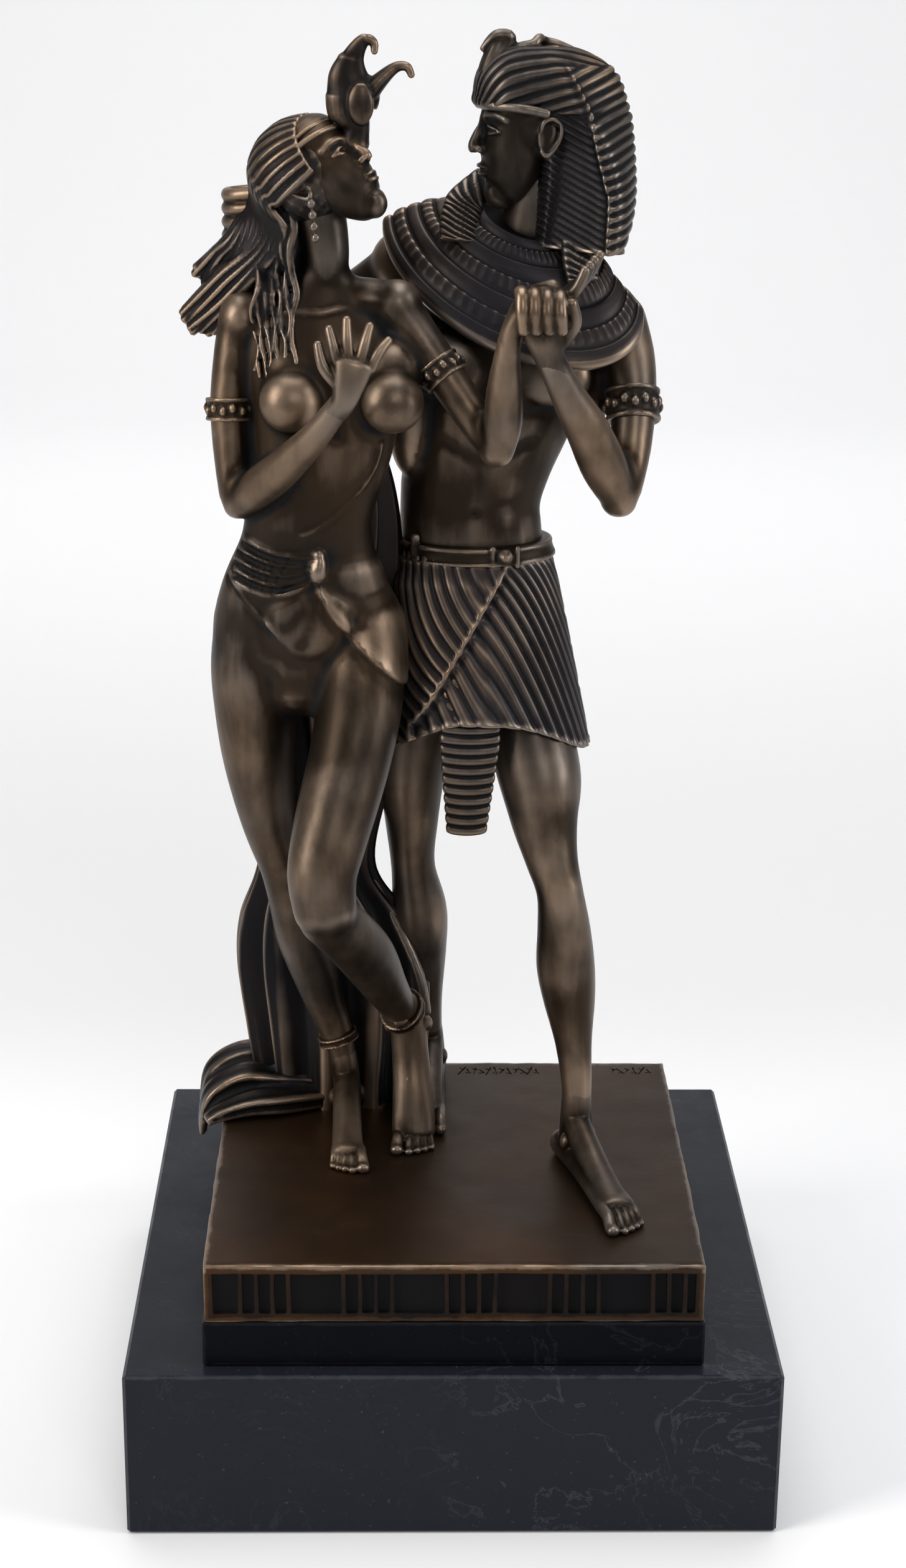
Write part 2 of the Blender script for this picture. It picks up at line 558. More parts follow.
def soften(obj, rounds, shrink=0.5, swell=-0.513):
    """Evens out the joins between forms without thinning the limbs."""
    edges = edges_of(obj)
    pts = points_of(obj)
    n = len(pts)
    a = edges[:, 0]
    b = edges[:, 1]
    links = np.maximum(np.bincount(a, minlength=n) + np.bincount(b, minlength=n), 1)[:, None]
    for k in range(2 * rounds):
        total = np.stack([np.bincount(a, pts[b, c], n) + np.bincount(b, pts[a, c], n) for c in range(3)], axis=1)
        pts = pts + (swell if k % 2 else shrink) * (total / links - pts)
    set_points(obj, pts)


def shape_of(obj):
    """The verts and faces of a mesh, as a form to melt again with others."""
    faces = [tuple(poly.vertices) for poly in obj.data.polygons]
    pts = points_of(obj)
    bpy.data.objects.remove(obj, do_unlink=True)
    return pts, faces


def raise_cloth(obj, weight, height):
    """Lifts the skin where a layer of cloth lies on it."""
    pts = points_of(obj)
    set_points(obj, pts + normals_of(obj) * (weight(pts) * height)[:, None])


def carve(obj, strokes):
    """Tool strokes along paths: (path, width, depth), where a depth below nought cuts in."""
    pts = points_of(obj)
    for path, width, depth in strokes:
        path = smooth_rows(np.asarray(path, float).reshape(-1, 3), 4)
        low = path.min(axis=0) - 3 * width
        high = path.max(axis=0) + 3 * width
        near = np.where(np.all((pts > low) & (pts < high), axis=1))[0]
        if len(near) == 0:
            continue
        set_points(obj, pts)
        nor = normals_of(obj)[near]
        d = path_distance(pts[near], path)
        pts[near] += nor * (depth * np.exp(-(d / width)**2))[:, None]
    set_points(obj, pts)


def edges_of(obj):
    edges = np.empty(len(obj.data.edges) * 2, np.int32)
    obj.data.edges.foreach_get("vertices", edges)
    return edges.reshape(-1, 2)


def spread(values, edges, count, times):
    """A value evened out over neighbouring points."""
    a = edges[:, 0]
    b = edges[:, 1]
    links = np.bincount(a, minlength=count) + np.bincount(b, minlength=count)
    for _ in range(times):
        total = np.bincount(a, values[b], count) + np.bincount(b, values[a], count)
        values = 0.5 * values + 0.5 * total / np.maximum(links, 1)
    return values


def mark_crests(obj, reach=6, gain=1.0, level=0.5):
    """Stores how far each point stands proud of its neighbourhood: level is flat, 1 a crest, 0 a hollow."""
    pts = points_of(obj)
    nor = normals_of(obj)
    edges = edges_of(obj)
    n = len(pts)
    even = np.stack([spread(pts[:, k], edges, n, reach) for k in range(3)], axis=1)
    proud = np.einsum("ij,ij->i", pts - even, nor)
    proud = spread(proud, edges, n, max(2, reach // 2))
    scale = max(np.percentile(np.abs(proud), 90), 1e-9)
    value = np.clip(level + 0.5 * gain * proud / scale, 0, 1)
    attribute = obj.data.attributes.new("crest", "FLOAT", "POINT")
    attribute.data.foreach_set("value", value.astype(np.float32))


def finish(obj, mat, reach=6, gain=1.0, level=0.5):
    """Brings a piece from the figures' grid to metres and gives it its finish."""
    outward_normals(obj)
    mark_crests(obj, reach, gain, level)
    pts = points_of(obj) * SCALE
    pts[:, 2] += BASE_TOP
    set_points(obj, pts)
    settle(obj, mat)
    return obj


def settle(obj, mat, angle=None):
    """Shading, material and place in the frame for a piece already in metres."""
    obj.data.materials.clear()
    obj.data.materials.append(mat)
    make_active(obj)
    if angle is None:
        bpy.ops.object.shade_smooth()
    else:
        bpy.ops.object.shade_smooth_by_angle(angle=math.radians(angle))
    deselect_all()
    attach(obj, "root")
    return obj
# Modelling strokes on the bodies

def man_strokes():
    """Navel, breast line, belly muscles, backbone and collar bones."""
    return [
        ([front_of(MAN_TORSO, 4.3, 158.5, 0.5)], 0.9, -1.2),
        ([front_of(MAN_TORSO, 5.0, 166, 1.5), front_of(MAN_TORSO, 7.0, 178, 1.5),
          front_of(MAN_TORSO, 10.0, 192, 4.0)], 1.2, -0.8),
        ([front_of(MAN_TORSO, -6.5, 186, 1.5), front_of(MAN_TORSO, 2.0, 183, 2.0),
          front_of(MAN_TORSO, 9.0, 186, 2.0), front_of(MAN_TORSO, 18, 182.5, 2.0),
          front_of(MAN_TORSO, 27, 186, 1.5)], 1.3, -0.9),
        ([front_of(MAN_TORSO, -4.0, 176, 1.0), front_of(MAN_TORSO, 6.0, 171, 1.5),
          front_of(MAN_TORSO, 17.0, 175, 1.0)], 1.4, -0.5),
        ([(13, 22, 205), (9, 22, 185), (5, 20, 165), (5, 22, 150)], 2.2, -1.6),
    ]


def on_woman(points, lift=0.5):
    """Places on the front of her body from pairs of x and height."""
    return [front_of(WOMAN_TORSO, x, z, lift) for x, z in points]


FLAP_HEM = ((-33.5, 149.0), (-31.5, 143.0), (-28.5, 137.5), (-24.5, 132.5), (-20.0, 128.0), (-15.5, 123.5),
            (-11.0, 119.0))


def flap_weight(pts):
    """1 on the layer of cloth over her hip, 0 off it, with a crisp hem."""
    hem = np.array(FLAP_HEM)
    line = np.interp(pts[:, 0], hem[:, 0], hem[:, 1], left=200.0)
    above = softened(pts[:, 2] - line, -0.1, 0.55)
    below_waist = softened(152.0 - pts[:, 2], 0.0, 5.0)
    front = softened(2.0 - pts[:, 1], 0.0, 6.0)
    return above * below_waist * front


def woman_strokes():
    """The folds of the girdle, the hems and seams of the close dress, navel and breast lines."""
    out = []
    for k in range(5):
        z0 = 155.4 - 2.6 * k
        fold = on_woman([(-50.5 + 19.5 * t, z0 - (3.4 - 1.5 * k) * t - 3.0 * math.sin(math.pi * t) * (0.5 + 0.15 * k))
                         for t in np.linspace(0, 1, 6)], 0.3)
        out.append((fold, 0.80, 0.95))
        if k:
            out.append(([(a + b) / 2 for a, b in zip(fold, last)], 0.55, -0.75))
        last = fold
    out += [
        (on_woman([(-31.4, 152.5), (-31.2, 150.5), (-31.6, 148.6)], 0.6), 1.3, 1.2),
        (on_woman([(-52.0, 146.5), (-49.0, 142.0), (-46.0, 138.5), (-42.0, 134.8), (-38.6, 131.8)], 0.3), 0.6, 0.55),
        (on_woman([(-52.6, 145.3), (-49.6, 140.8), (-46.6, 137.3), (-42.6, 133.6), (-39.2, 130.6)], 0.3), 0.6, -0.45),
        (on_woman([(-17.2, 177.5), (-18.6, 172.5), (-21.6, 167.5), (-26.0, 162.6), (-30.5, 159.2),
                   (-35.2, 157.0)], 0.3), 0.55, 0.55),
        (on_woman([(-18.0, 176.5), (-19.4, 171.5), (-22.4, 166.5), (-26.8, 161.4), (-31.3, 158.0)], 0.3), 0.5, -0.4),
        (on_woman([(-29.5, 145.5), (-25.0, 142.5), (-20.0, 141.5), (-15.5, 142.5)], 1.6), 0.9, -0.25),
        (on_woman([(-27.5, 141.0), (-22.0, 136.0), (-17.0, 133.0)], 1.8), 1.0, -0.25),
        (on_woman([(-33.5, 144.5), (-35.5, 139.0), (-39.0, 135.5)], 1.2), 1.1, -0.30),
        (on_woman([(-33.0, 141.5), (-33.5, 136.0), (-35.5, 131.5)], 1.4), 1.1, -0.30),
        ([(-31, 3, 205), (-31, 3, 190), (-34, 3.5, 170), (-34.5, 4, 150)], 1.8, -1.1),
        ([(-31.2, -13.5, 206.5), (-38.5, -12.5, 206.5), (-45.5, -11.0, 207.0)], 1.0, 0.5),
        ([(-29.6, -13.5, 206.8), (-23.0, -13.0, 208.5), (-17.0, -12.5, 209.5)], 1.0, 0.5),
        ([(-26.6, -19.5, 196), (-26.4, -20.5, 188), (-27.2, -19.0, 180)], 1.8, -0.8),
    ]
    return out


# Dress, hair and ornament

def softened(values, low, high):
    """0 below low, 1 above high, and a soft step between them."""
    t = np.clip((np.asarray(values, float) - low) / (high - low), 0, 1)
    return t * t * (3 - 2 * t)


def ridge(phase, sharp=1.0):
    """A rounded ridge with a narrow groove beside it, once for every whole number of the phase."""
    t = np.abs(np.mod(phase, 1.0) - 0.5) * 2
    return 1 - t**(2.2 * sharp)


def hem_height(a):
    """The kilt's lower edge, higher in front where the two wraps cross."""
    front = np.maximum(0.0, np.sin(a))
    return 102.0 + 9.5 * front**2.5 + 1.0 * front * softened(-np.cos(a), 0.0, 0.35)


def wrap_edge(z):
    """Where the upper wrap of the kilt ends at each height."""
    return np.interp(z, (110, 116, 131, 146, 149), (-9.5, -5.0, 3.5, 12.0, 15.0))


def kilt(pleats, columns=14, levels=64):
    """The pleated kilt, a closed form with its underside drawn up round the legs."""
    top = 148.8
    q = np.linspace(0, 2 * math.pi, pleats * columns, endpoint=False)
    rings = []
    for i in range(levels + 1):
        t = i / levels
        cx = 4.6 + 3.8 * t
        cy = 8.2 - 5.2 * t
        a = 17.7 + 6.3 * t**0.9
        front = 12.6 + 8.8 * t**0.9
        back = 12.2 + 6.5 * max(t, 1e-9)**0.8
        z = top + (hem_height(q) - top) * t
        c = np.sign(np.cos(q)) * np.abs(np.cos(q))**0.84
        s = np.sign(np.sin(q)) * np.abs(np.sin(q))**0.84
        deep = np.where(s > 0, front, back)
        x = a * c
        y = -deep * s
        past = cx + x - wrap_edge(z)
        over = np.where(s > 0, 1.0 / (1.0 + np.exp(past / 0.22)), 0.0)
        upper = ridge(pleats / 2 / math.pi * (q + 0.25 * t + 1.0 * t * t))
        lower = ridge(pleats / 2 / math.pi * (q + 1.15 * t**0.6))
        pleat = np.where((s <= 0) | (past < 0.0), upper, lower)
        rim = np.exp(-((past + 0.6) / 0.55)**2) * (s > 0)
        lift = 1.15 * (pleat - 0.60) * min(1.0, 0.4 + 4 * t) * (1 - rim)
        lift = lift + (1.2 * over + 0.5 * rim) * min(1.0, 6 * t)
        lift = lift + 3.6 * softened(t, 0.25, 0.95) * np.exp(-((q - 3.75) / 0.62)**2)
        hem = softened(t, 0.965, 0.985)
        lift = lift * (1 - 0.35 * hem) + 0.25 * hem
        n = np.stack([x / a**2, y / deep**2], axis=1)
        n = n / np.linalg.norm(n, axis=1)[:, None]
        rings.append(np.stack([cx + x + n[:, 0] * lift, cy + y + n[:, 1] * lift, z], axis=1))
    last = rings[-1]
    mid = last.mean(axis=0)
    rings.append((last - mid) * (0.985, 0.985, 1.0) + mid + (0, 0, -0.25))
    rings.append((last - mid) * (0.93, 0.93, 1.0) + mid + (0, 0, 0.5))
    rings.append((last - mid) * (0.90, 0.90, 1.0) + mid + (0, 0, 2.0))
    rings.append((last - mid) * (0.5, 0.5, 1.0) + mid + (0, 0, 4.5))
    return skin(rings)


def belt():
    """The belt above the kilt, with its clasp and its loose end."""
    rows = [(4.6, 8.1, 146.5, 17.9, 13.2), (4.6, 8.1, 146.6, 19.3, 14.7), (4.6, 8.1, 147.3, 19.3, 14.7),
            (4.6, 8.1, 147.5, 18.8, 14.2), (4.5, 8.1, 149.7, 18.3, 13.7), (4.5, 8.1, 149.9, 18.7, 14.1),
            (4.5, 8.1, 150.6, 18.5, 13.9), (4.5, 8.1, 150.8, 17.2, 12.3)]
    out = [limb(rows, steps=1, sides=160, round_ends=(False, False))]
    out.append(ball((11.5, -5.0, 148.7), (2.0, 1.3, 2.0)))
    out.append(ball((11.5, -5.9, 148.7), (1.1, 0.9, 1.1)))
    out.append(limb([(8.6, -5.6, 146.5, 0.6, 0.6), (8.6, -5.4, 150.9, 0.6, 0.6)]))
    out.append(limb([(14.4, -4.9, 146.5, 0.6, 0.6), (14.4, -4.7, 150.9, 0.6, 0.6)]))
    out.append(limb([(-8.9, -1.0, 146.4, 1.3, 0.8), (-9.4, -0.6, 149.0, 1.2, 0.9), (-9.4, -0.6, 152.4, 1.1, 0.8)]))
    return out


def apron(ribs, sides=48):
    """The ribbed tongue that hangs below the kilt."""
    rings = []
    steps = 10 * ribs
    ang = np.linspace(0, 2 * math.pi, sides, endpoint=False)
    for k in range(steps + 1):
        t = k / steps
        z = 121.5 - 37.4 * t
        x = 3.9 - 1.0 * t
        half = float(np.interp(t, (0, 0.4, 1), (6.4, 7.0, 4.6)))
        y = -12.6 - 4.0 * float(softened(t, 0.0, 0.40))
        lift = 0.75 * (float(ridge(t * ribs)) - 0.6)
        if t > 0.992:
            lift = -1.0
        c = np.sign(np.cos(ang)) * np.abs(np.cos(ang))**0.6
        s = np.sign(np.sin(ang)) * np.abs(np.sin(ang))**0.6
        sag = 0.5 * c * c
        rings.append(np.stack([x + (half + lift * 0.5) * c, y - (1.5 + lift) * s,
                               z + sag], axis=1))
    return skin(rings)


COLLAR_LEVELS = (
    ((15.0, 6.5, 226.0), (9.0, -1.2, -2.6), (-1.0, -8.2, -4.0), (1.0, 8.0, 1.0)),
    ((14.0, 7.0, 223.5), (17.0, -3.2, -5.0), (-0.6, -11.5, -7.5), (0.6, 10.4, 1.0)),
    ((13.2, 6.2, 219.0), (24.0, -4.8, -8.0), (-0.4, -14.6, -12.5), (0, 12.8, 0)),
    ((12.6, 5.4, 214.6), (29.8, -6.2, -9.2), (-0.2, -17.6, -16.5), (0, 14.6, -2.0)))


def collar(bands, sides=260):
    """The broad collar, a cape of concentric bands over the shoulders."""
    table = smooth_rows([np.concatenate(lv) for lv in COLLAR_LEVELS], 12)
    rings = []
    steps = 14 * bands
    ang = np.linspace(0, 2 * math.pi, sides, endpoint=False)
    for k in range(steps + 1):
        t = k / steps
        row = [np.interp(t * (len(table) - 1), range(len(table)), table[:, m]) for m in range(12)]
        step = t * bands
        bead = 0.16 * np.cos(ang * 65) if int(step) % 2 else 0.0
        body = float(ridge(step, 1.6))
        lift = 0.9 * (body - 0.5) + bead * body
        ring = half_axis_ring(row[0:3], row[3:6], row[6:9], row[9:12], sides=sides)
        rings.append(ring + np.stack([0 * ang, 0 * ang, lift + 0 * ang], axis=1))
    last = rings[-1]
    mid = last.mean(axis=0)
    rings.append((last - mid) * 1.0 + mid + (0, 0, -0.9))
    rings.append((last - mid) * 0.965 + mid + (0, 0, -2.0))
    rings.append((last - mid) * 0.55 + mid + (0, 0, -3.0))
    return skin(rings)
NEMES_LEVELS = (
    (0.60, 0.12, 0.00, 0.08, 0.06, 0.08, 0.12),
    (0.585, 0.28, -0.02, 0.18, 0.10, 0.17, 0.22),
    (0.53, 0.43, -0.06, 0.28, 0.14, 0.26, 0.33),
    (0.44, 0.54, -0.12, 0.36, 0.16, 0.33, 0.40),
    (0.32, 0.60, -0.18, 0.41, 0.14, 0.36, 0.425),
    (0.20, 0.63, -0.24, 0.45, 0.06, 0.355, 0.40),
    (0.13, 0.645, -0.28, 0.47, -0.02, 0.345, 0.10),
    (-0.02, 0.67, -0.36, 0.51, -0.12, 0.33, 0.02),
    (-0.20, 0.69, -0.42, 0.55, -0.14, 0.32, 0.00),
    (-0.40, 0.70, -0.45, 0.58, -0.14, 0.30, 0.00),
    (-0.60, 0.68, -0.45, 0.58, -0.12, 0.27, 0.00),
    (-0.78, 0.62, -0.43, 0.56, -0.10, 0.24, 0.00))


def nemes_ring(head, row, fineness):
    """One level of the headcloth, from its back to its rim to the side of the face."""
    u, back, rim_f, rim_l, ear_f, ear_l, front = row
    half = [(-back, 0.0), (-back * 0.97, rim_l * 0.45), (rim_f - 0.12, rim_l * 0.86), (rim_f, rim_l),
            (rim_f * 0.5 + ear_f * 0.5, rim_l * 0.5 + ear_l * 0.5), (ear_f, ear_l),
            (front * 0.62 + ear_f * 0.38, ear_l * 0.85), (front, ear_l * 0.35)]
    pts = np.array(half + [(f, -l) for f, l in reversed(half[1:])])
    loop = np.vstack([pts[-1:], pts, pts[:2]])
    fine = smooth_rows(loop, fineness)[fineness:fineness * (1 + len(pts))]
    arch = 0.30 * (fine[:, 0] + 0.02)**2 * float(np.interp(u, (0.13, 0.3, 0.6), (0.0, 0.6, 0.2)))
    return np.stack([fine[:, 0], fine[:, 1], u - arch], axis=1)


def headcloth(stripes, fineness=16, levels=150):
    """The striped headcloth with its side wings, in shares of the head and then in place."""
    head = MAN_HEAD
    table = smooth_rows(NEMES_LEVELS, 8)
    rings = []
    for k in range(levels + 1):
        t = k / levels * (len(table) - 1)
        row = [float(np.interp(t, range(len(table)), table[:, m])) for m in range(7)]
        rings.append(nemes_ring(head, row, fineness))
    shares = np.array(rings)
    f = shares[..., 0]
    l = shares[..., 1]
    u = shares[..., 2]
    # outward directions from the grid itself
    du = np.gradient(shares, axis=0)
    dr = np.roll(shares, -1, axis=1) - np.roll(shares, 1, axis=1)
    n = np.cross(dr, du)
    n /= np.maximum(np.linalg.norm(n, axis=2), 1e-9)[..., None]
    away = shares - np.array((-0.15, 0.0, 0.1))
    n *= np.sign(np.einsum("ijk,ijk->ij", n, away))[..., None]
    # over the dome the stripes run back from the brow, on the wings they cross the outer strip
    dome = np.arctan2(np.abs(l), u + 0.05 + 0.35 * (f - 0.4) * 0.5)
    top = dome / math.pi * 2 * stripes * 0.95
    strip = (u * 0.9 + f * 0.35) * stripes * 1.35
    inner = (u * 0.85 - f * 0.45) * stripes * 2.0
    fold = np.interp(u, (-0.9, -0.4, 0.18, 0.5), (-0.43, -0.43, -0.28, -0.12))
    back_edge = f - fold
    outer = softened(-back_edge, -0.012, 0.012)
    below = softened(0.17 - u, -0.015, 0.015)
    on_strip = outer * softened(0.50 - u, 0.0, 0.05)
    relief = ridge(top)
    relief = relief + (0.15 + 0.4 * ridge(inner) - relief) * below * (1 - outer)
    relief = relief + (ridge(strip) - relief) * on_strip
    hem = softened(0.45 - u, 0.0, 0.1) * np.exp(-(back_edge / 0.018)**2)
    lift = 0.022 * (relief - 0.5) + 0.014 * on_strip + 0.012 * hem
    shares = shares + n * lift[..., None]
    flat = shares.reshape(-1, 3)
    world = head.c + head.h * (flat[:, :1] * head.f + flat[:, 1:2] * head.l + flat[:, 2:] * head.u)
    return skin(world.reshape(shares.shape)[::-1])


def headcloth_trim():
    """The brow band, the two lappets and the cobra."""
    h = MAN_HEAD
    out = []
    for s in (-1, 1):
        out.append(h.limb([(0.415, 0.0, 0.20, 0.035, 0.03), (0.37, 0.20 * s, 0.205, 0.035, 0.03),
                           (0.18, 0.355 * s, 0.20, 0.035, 0.03), (0.0, 0.38 * s, 0.17, 0.035, 0.03)], side="u"))
    out.append(h.limb([(0.395, 0, 0.21, 0.045, 0.045), (0.385, 0, 0.33, 0.070, 0.055),
                       (0.350, 0, 0.45, 0.090, 0.070), (0.290, 0, 0.55, 0.085, 0.090),
                       (0.245, 0, 0.62, 0.060, 0.095), (0.225, 0, 0.665, 0.045, 0.070)]))
    out.append(h.limb([(0.22, 0, 0.655, 0.050, 0.055), (0.29, 0, 0.655, 0.050, 0.055),
                       (0.35, 0, 0.615, 0.040, 0.042), (0.395, 0, 0.575, 0.022, 0.024)]))
    out.append(h.limb([(0.24, 0, 0.50, 0.05, 0.06), (0.14, 0.03, 0.585, 0.04, 0.04), (0.05, 0.07, 0.615, 0.036, 0.036),
                       (0.00, 0.03, 0.655, 0.034, 0.034), (-0.04, -0.02, 0.635, 0.034, 0.034),
                       (-0.14, 0.0, 0.615, 0.03, 0.03), (-0.24, 0.0, 0.585, 0.022, 0.022)]))
    return out


def lappet(rows, side, stripes, sides=48, steps=20):
    """A striped tongue of the headcloth that lies on the breast."""
    head = MAN_HEAD
    path = smooth_rows([list(head.p(*r[:3])) + [r[3] * head.h, r[4] * head.h] for r in rows], steps)
    axis = {"f": head.f, "l": head.l}[side]
    tang = np.gradient(path[:, :3], axis=0)
    ang = np.linspace(0, 2 * math.pi, sides, endpoint=False)
    c = np.sign(np.cos(ang)) * np.abs(np.cos(ang))**0.7
    s = np.sign(np.sin(ang)) * np.abs(np.sin(ang))**0.7
    rings = []
    n = len(path)
    for i in range(n):
        t = unit(tang[i])
        across = unit(axis - t * np.dot(axis, t))
        deep = np.cross(t, across)
        tilt = 0.5 * c * path[i, 3] / (np.linalg.norm(path[-1, :3] - path[0, :3]) / stripes)
        lift = 0.55 * (ridge(i / n * stripes + tilt) - 0.5)
        rings.append(path[i, :3] + np.outer(c, across) * path[i, 3]
                     + np.outer(s, deep) * (path[i, 4] + lift)[:, None])
    return skin(rings)


def lappets(stripes):
    return [
        lappet([(-0.30, 0.18, -0.50, 0.10, 0.05), (-0.29, 0.24, -0.64, 0.12, 0.05),
                (-0.29, 0.36, -0.83, 0.13, 0.05), (-0.30, 0.43, -0.98, 0.11, 0.04)], "f", stripes),
        lappet([(0.286, -0.285, -0.35, 0.100, 0.050), (0.454, -0.14, -0.490, 0.135, 0.045),
                (0.498, -0.075, -0.57, 0.145, 0.045), (0.522, -0.015, -0.665, 0.145, 0.040),
                (0.534, 0.038, -0.760, 0.135, 0.035)], "f", stripes)]


def strand(rows, side=(0, 1, 0), sides=14, steps=8, comb=0.14, lines=3):
    """A flat lock of hair with a blunt end and a few lines combed along it."""
    path = smooth_rows(rows, steps)
    tang = np.gradient(path[:, :3], axis=0)
    ang = np.linspace(0, 2 * math.pi, sides, endpoint=False)
    rings = []
    for i in range(len(path)):
        t = unit(tang[i])
        s = np.asarray(side, float) if np.ndim(side) == 1 else np.asarray(side[min(i // steps, len(side) - 1)])
        s = unit(s - t * np.dot(s, t))
        d = np.cross(t, s)
        ripple = 1 + comb * np.cos(ang * lines)
        rings.append(path[i, :3] + np.outer(np.cos(ang) * path[i, 3] * ripple, s)
                     + np.outer(np.sin(ang) * path[i, 4] * ripple, d))
    return skin(rings)


def over_skull(turn, along, lift=0.0):
    """A place on her hair: turned from the crown to the side, and along from brow to nape, in degrees."""
    h = WOMAN_HEAD
    a = math.radians(turn)
    b = math.radians(along)
    r = 0.43 + lift
    reach = (0.47 if b < math.pi / 2 else 0.41) + lift
    return h.p(-0.11 + reach * math.cos(b), -r * math.sin(b) * math.sin(a),
               0.12 + r * math.sin(b) * math.cos(a))


HAIR_ENDS = ((-59.6, 0.6, 213.6), (-58.0, 0.4, 211.0), (-57.2, 0.3, 208.4), (-61.2, 0.0, 206.2),
             (-62.2, -0.4, 203.2), (-61.4, -0.8, 200.8), (-58.2, -1.4, 199.8), (-55.2, -2.0, 200.4))
SKULL_STRANDS = 21


def swept_hair():
    """Strands that start at the brow band, cross the skull and blow out behind her."""
    out = []
    for k in range(SKULL_STRANDS):
        share = k / (SKULL_STRANDS - 1)
        turn = -14 + 118 * share
        rise = 0.45 * (-1)**k
        end = smooth_rows(HAIR_ENDS, 4)[int(round(share * 4 * (len(HAIR_ENDS) - 1)))]
        start = 48 + 8 * share
        back = 142 - 20 * share
        rows = []
        for t in (0.0, 0.25, 0.5, 0.75, 1.0):
            rows.append((*over_skull(turn, start + (back - start) * t, 0.012 + 0.006 * (-1)**k), 0.8 + 0.3 * t, 0.9 + 0.2 * t))
        nape = np.array((-50.6 + 12.6 * share, -3.5 - 7.4 * share + rise, 223.0 - 1.0 * share))
        rows.append((*nape, 1.1, 1.2))
        mid = nape * 0.45 + end * 0.55 + (0.4, 0.8 * rise, 1.1 * math.sin(7 * k))
        rows.append((*mid, 1.15, 1.2))
        rows.append((*(end + (0.6 * math.sin(5 * k), 0, 0.5 * math.cos(3 * k))), 1.0, 0.95))
        out.append(strand(rows, side=(0.2, -1, 0.2)))
    return out


def far_hair():
    """The far side of her hair and the fall behind her neck."""
    out = []
    for k in range(10):
        turn = -24 - 10 * k
        rows = [(*over_skull(turn, 50 + 100 * t, 0.008), 1.7, 1.1) for t in (0, 0.25, 0.5, 0.75, 1)]
        rows.append((-41.0 + 1.2 * k, 3.0 - 0.1 * k, 217.0 - 0.6 * k, 2.2, 1.7))
        rows.append((-42.5 + 1.5 * k, 3.0 - 0.1 * k, 204.0 - 0.3 * k, 1.4, 1.2))
        out.append(strand(rows, side=(1, 0, 0)))
    return out


def breast_locks():
    """Thin wavy locks that come from behind her ear over the shoulder and lie on the breast."""
    out = []
    for k in range(9):
        share = k / 8
        rows = []
        for m in range(9):
            down = m / 8
            z = 230.0 - (36.5 + 4.0 * math.sin(2.5 * share)) * down
            x = -40.6 + 3.2 * share + (-5.0 + 5.6 * share) * math.sin(math.pi * min(1.0, 1.2 * down) / 1.6)
            x += 0.75 * math.sin(2 * math.pi * (2.6 * down + 0.37 * k))
            neck = -8.0 - 4.0 * share
            breast = front_of(WOMAN_TORSO, x, z, 0.3 + 2.2 * max(0.0, down - 0.7))[1]
            y = neck + (breast - neck) * float(softened(down, 0.25, 0.65))
            y = min(y, -12.3 + 4.5 * max(0.0, abs(z - 208.5) - 5.5))
            size = 0.95 - 0.45 * down**2
            rows.append((x, y, z, size, size * 0.9))
        out.append(strand(rows, side=(1, 0, 0), sides=12, steps=5))
    return out


def hair_cap():
    """The skull under her strands and the root of the blown hair."""
    h = WOMAN_HEAD
    return [h.ball(-0.085, 0, 0.12, 0.415, 0.39, 0.405),
            limb([(-41.0, -2.5, 230, 5.6, 4.6), (-44.5, -1.2, 220, 5.4, 3.6), (-48.5, -1.0, 211, 4.4, 3.0),
                  (-53.0, -1.0, 206, 3.0, 2.2)], side=(1, 0, 0.4)),
            limb([(-37.0, -2.0, 230, 6.0, 5.0), (-38.0, -1.0, 218, 6.4, 4.6), (-39.5, -1.5, 208, 6.4, 4.6),
                  (-39.5, -1.0, 198, 4.0, 3.4)])]


def ear_beads():
    """The beaded drop that hangs below her ear."""
    h = WOMAN_HEAD
    out = []
    for k in range(4):
        out.append(ball(h.p(-0.02 - 0.05 * k, -0.37, -0.17 - 0.075 * k), (1.0, 1.0, 1.1)))
    return out


def brow_band():
    """The band across her brow, with a second narrow one behind it."""
    h = WOMAN_HEAD
    out = []
    for s in (-1, 1):
        out.append(h.limb([(0.375, 0.0, 0.235, 0.024, 0.026), (0.31, 0.20 * s, 0.245, 0.024, 0.026),
                           (0.13, 0.355 * s, 0.235, 0.024, 0.026), (-0.03, 0.40 * s, 0.14, 0.024, 0.026)],
                          side="u"))
        out.append(h.limb([(0.345, 0.0, 0.315, 0.018, 0.022), (0.28, 0.20 * s, 0.325, 0.018, 0.022),
                           (0.10, 0.36 * s, 0.30, 0.018, 0.022)], side="u"))
    return out


def crown():
    """A cup on the crown of the head with two upturned tips and a disc in front."""
    return [
        limb([(-23.2, -9.4, 243.5, 3.4, 3.2), (-22.8, -9.6, 246.6, 3.0, 2.8), (-24.0, -9.4, 250.0, 5.2, 3.4),
              (-23.6, -9.2, 253.6, 6.0, 3.4), (-24.4, -9.2, 257.4, 4.6, 2.6), (-24.0, -9.4, 260.8, 3.0, 1.9)]),
        limb([(-24.6, -9.2, 258.0, 3.6, 2.2), (-23.0, -9.4, 262.4, 2.2, 1.6), (-20.9, -9.8, 265.2, 1.4, 1.2),
              (-19.0, -10.2, 264.6, 1.0, 0.9), (-18.8, -10.4, 262.8, 0.8, 0.8)]),
        limb([(-21.4, -9.4, 252.4, 3.8, 2.6), (-17.6, -9.8, 256.6, 2.6, 1.8), (-14.2, -10.2, 259.4, 1.4, 1.2),
              (-11.8, -10.6, 259.6, 1.1, 1.0), (-10.8, -10.8, 257.9, 0.8, 0.8)], side=(0, 1, 0)),
        ball((-21.8, -12.4, 251.8), (3.0, 1.6, 4.6)),
    ]


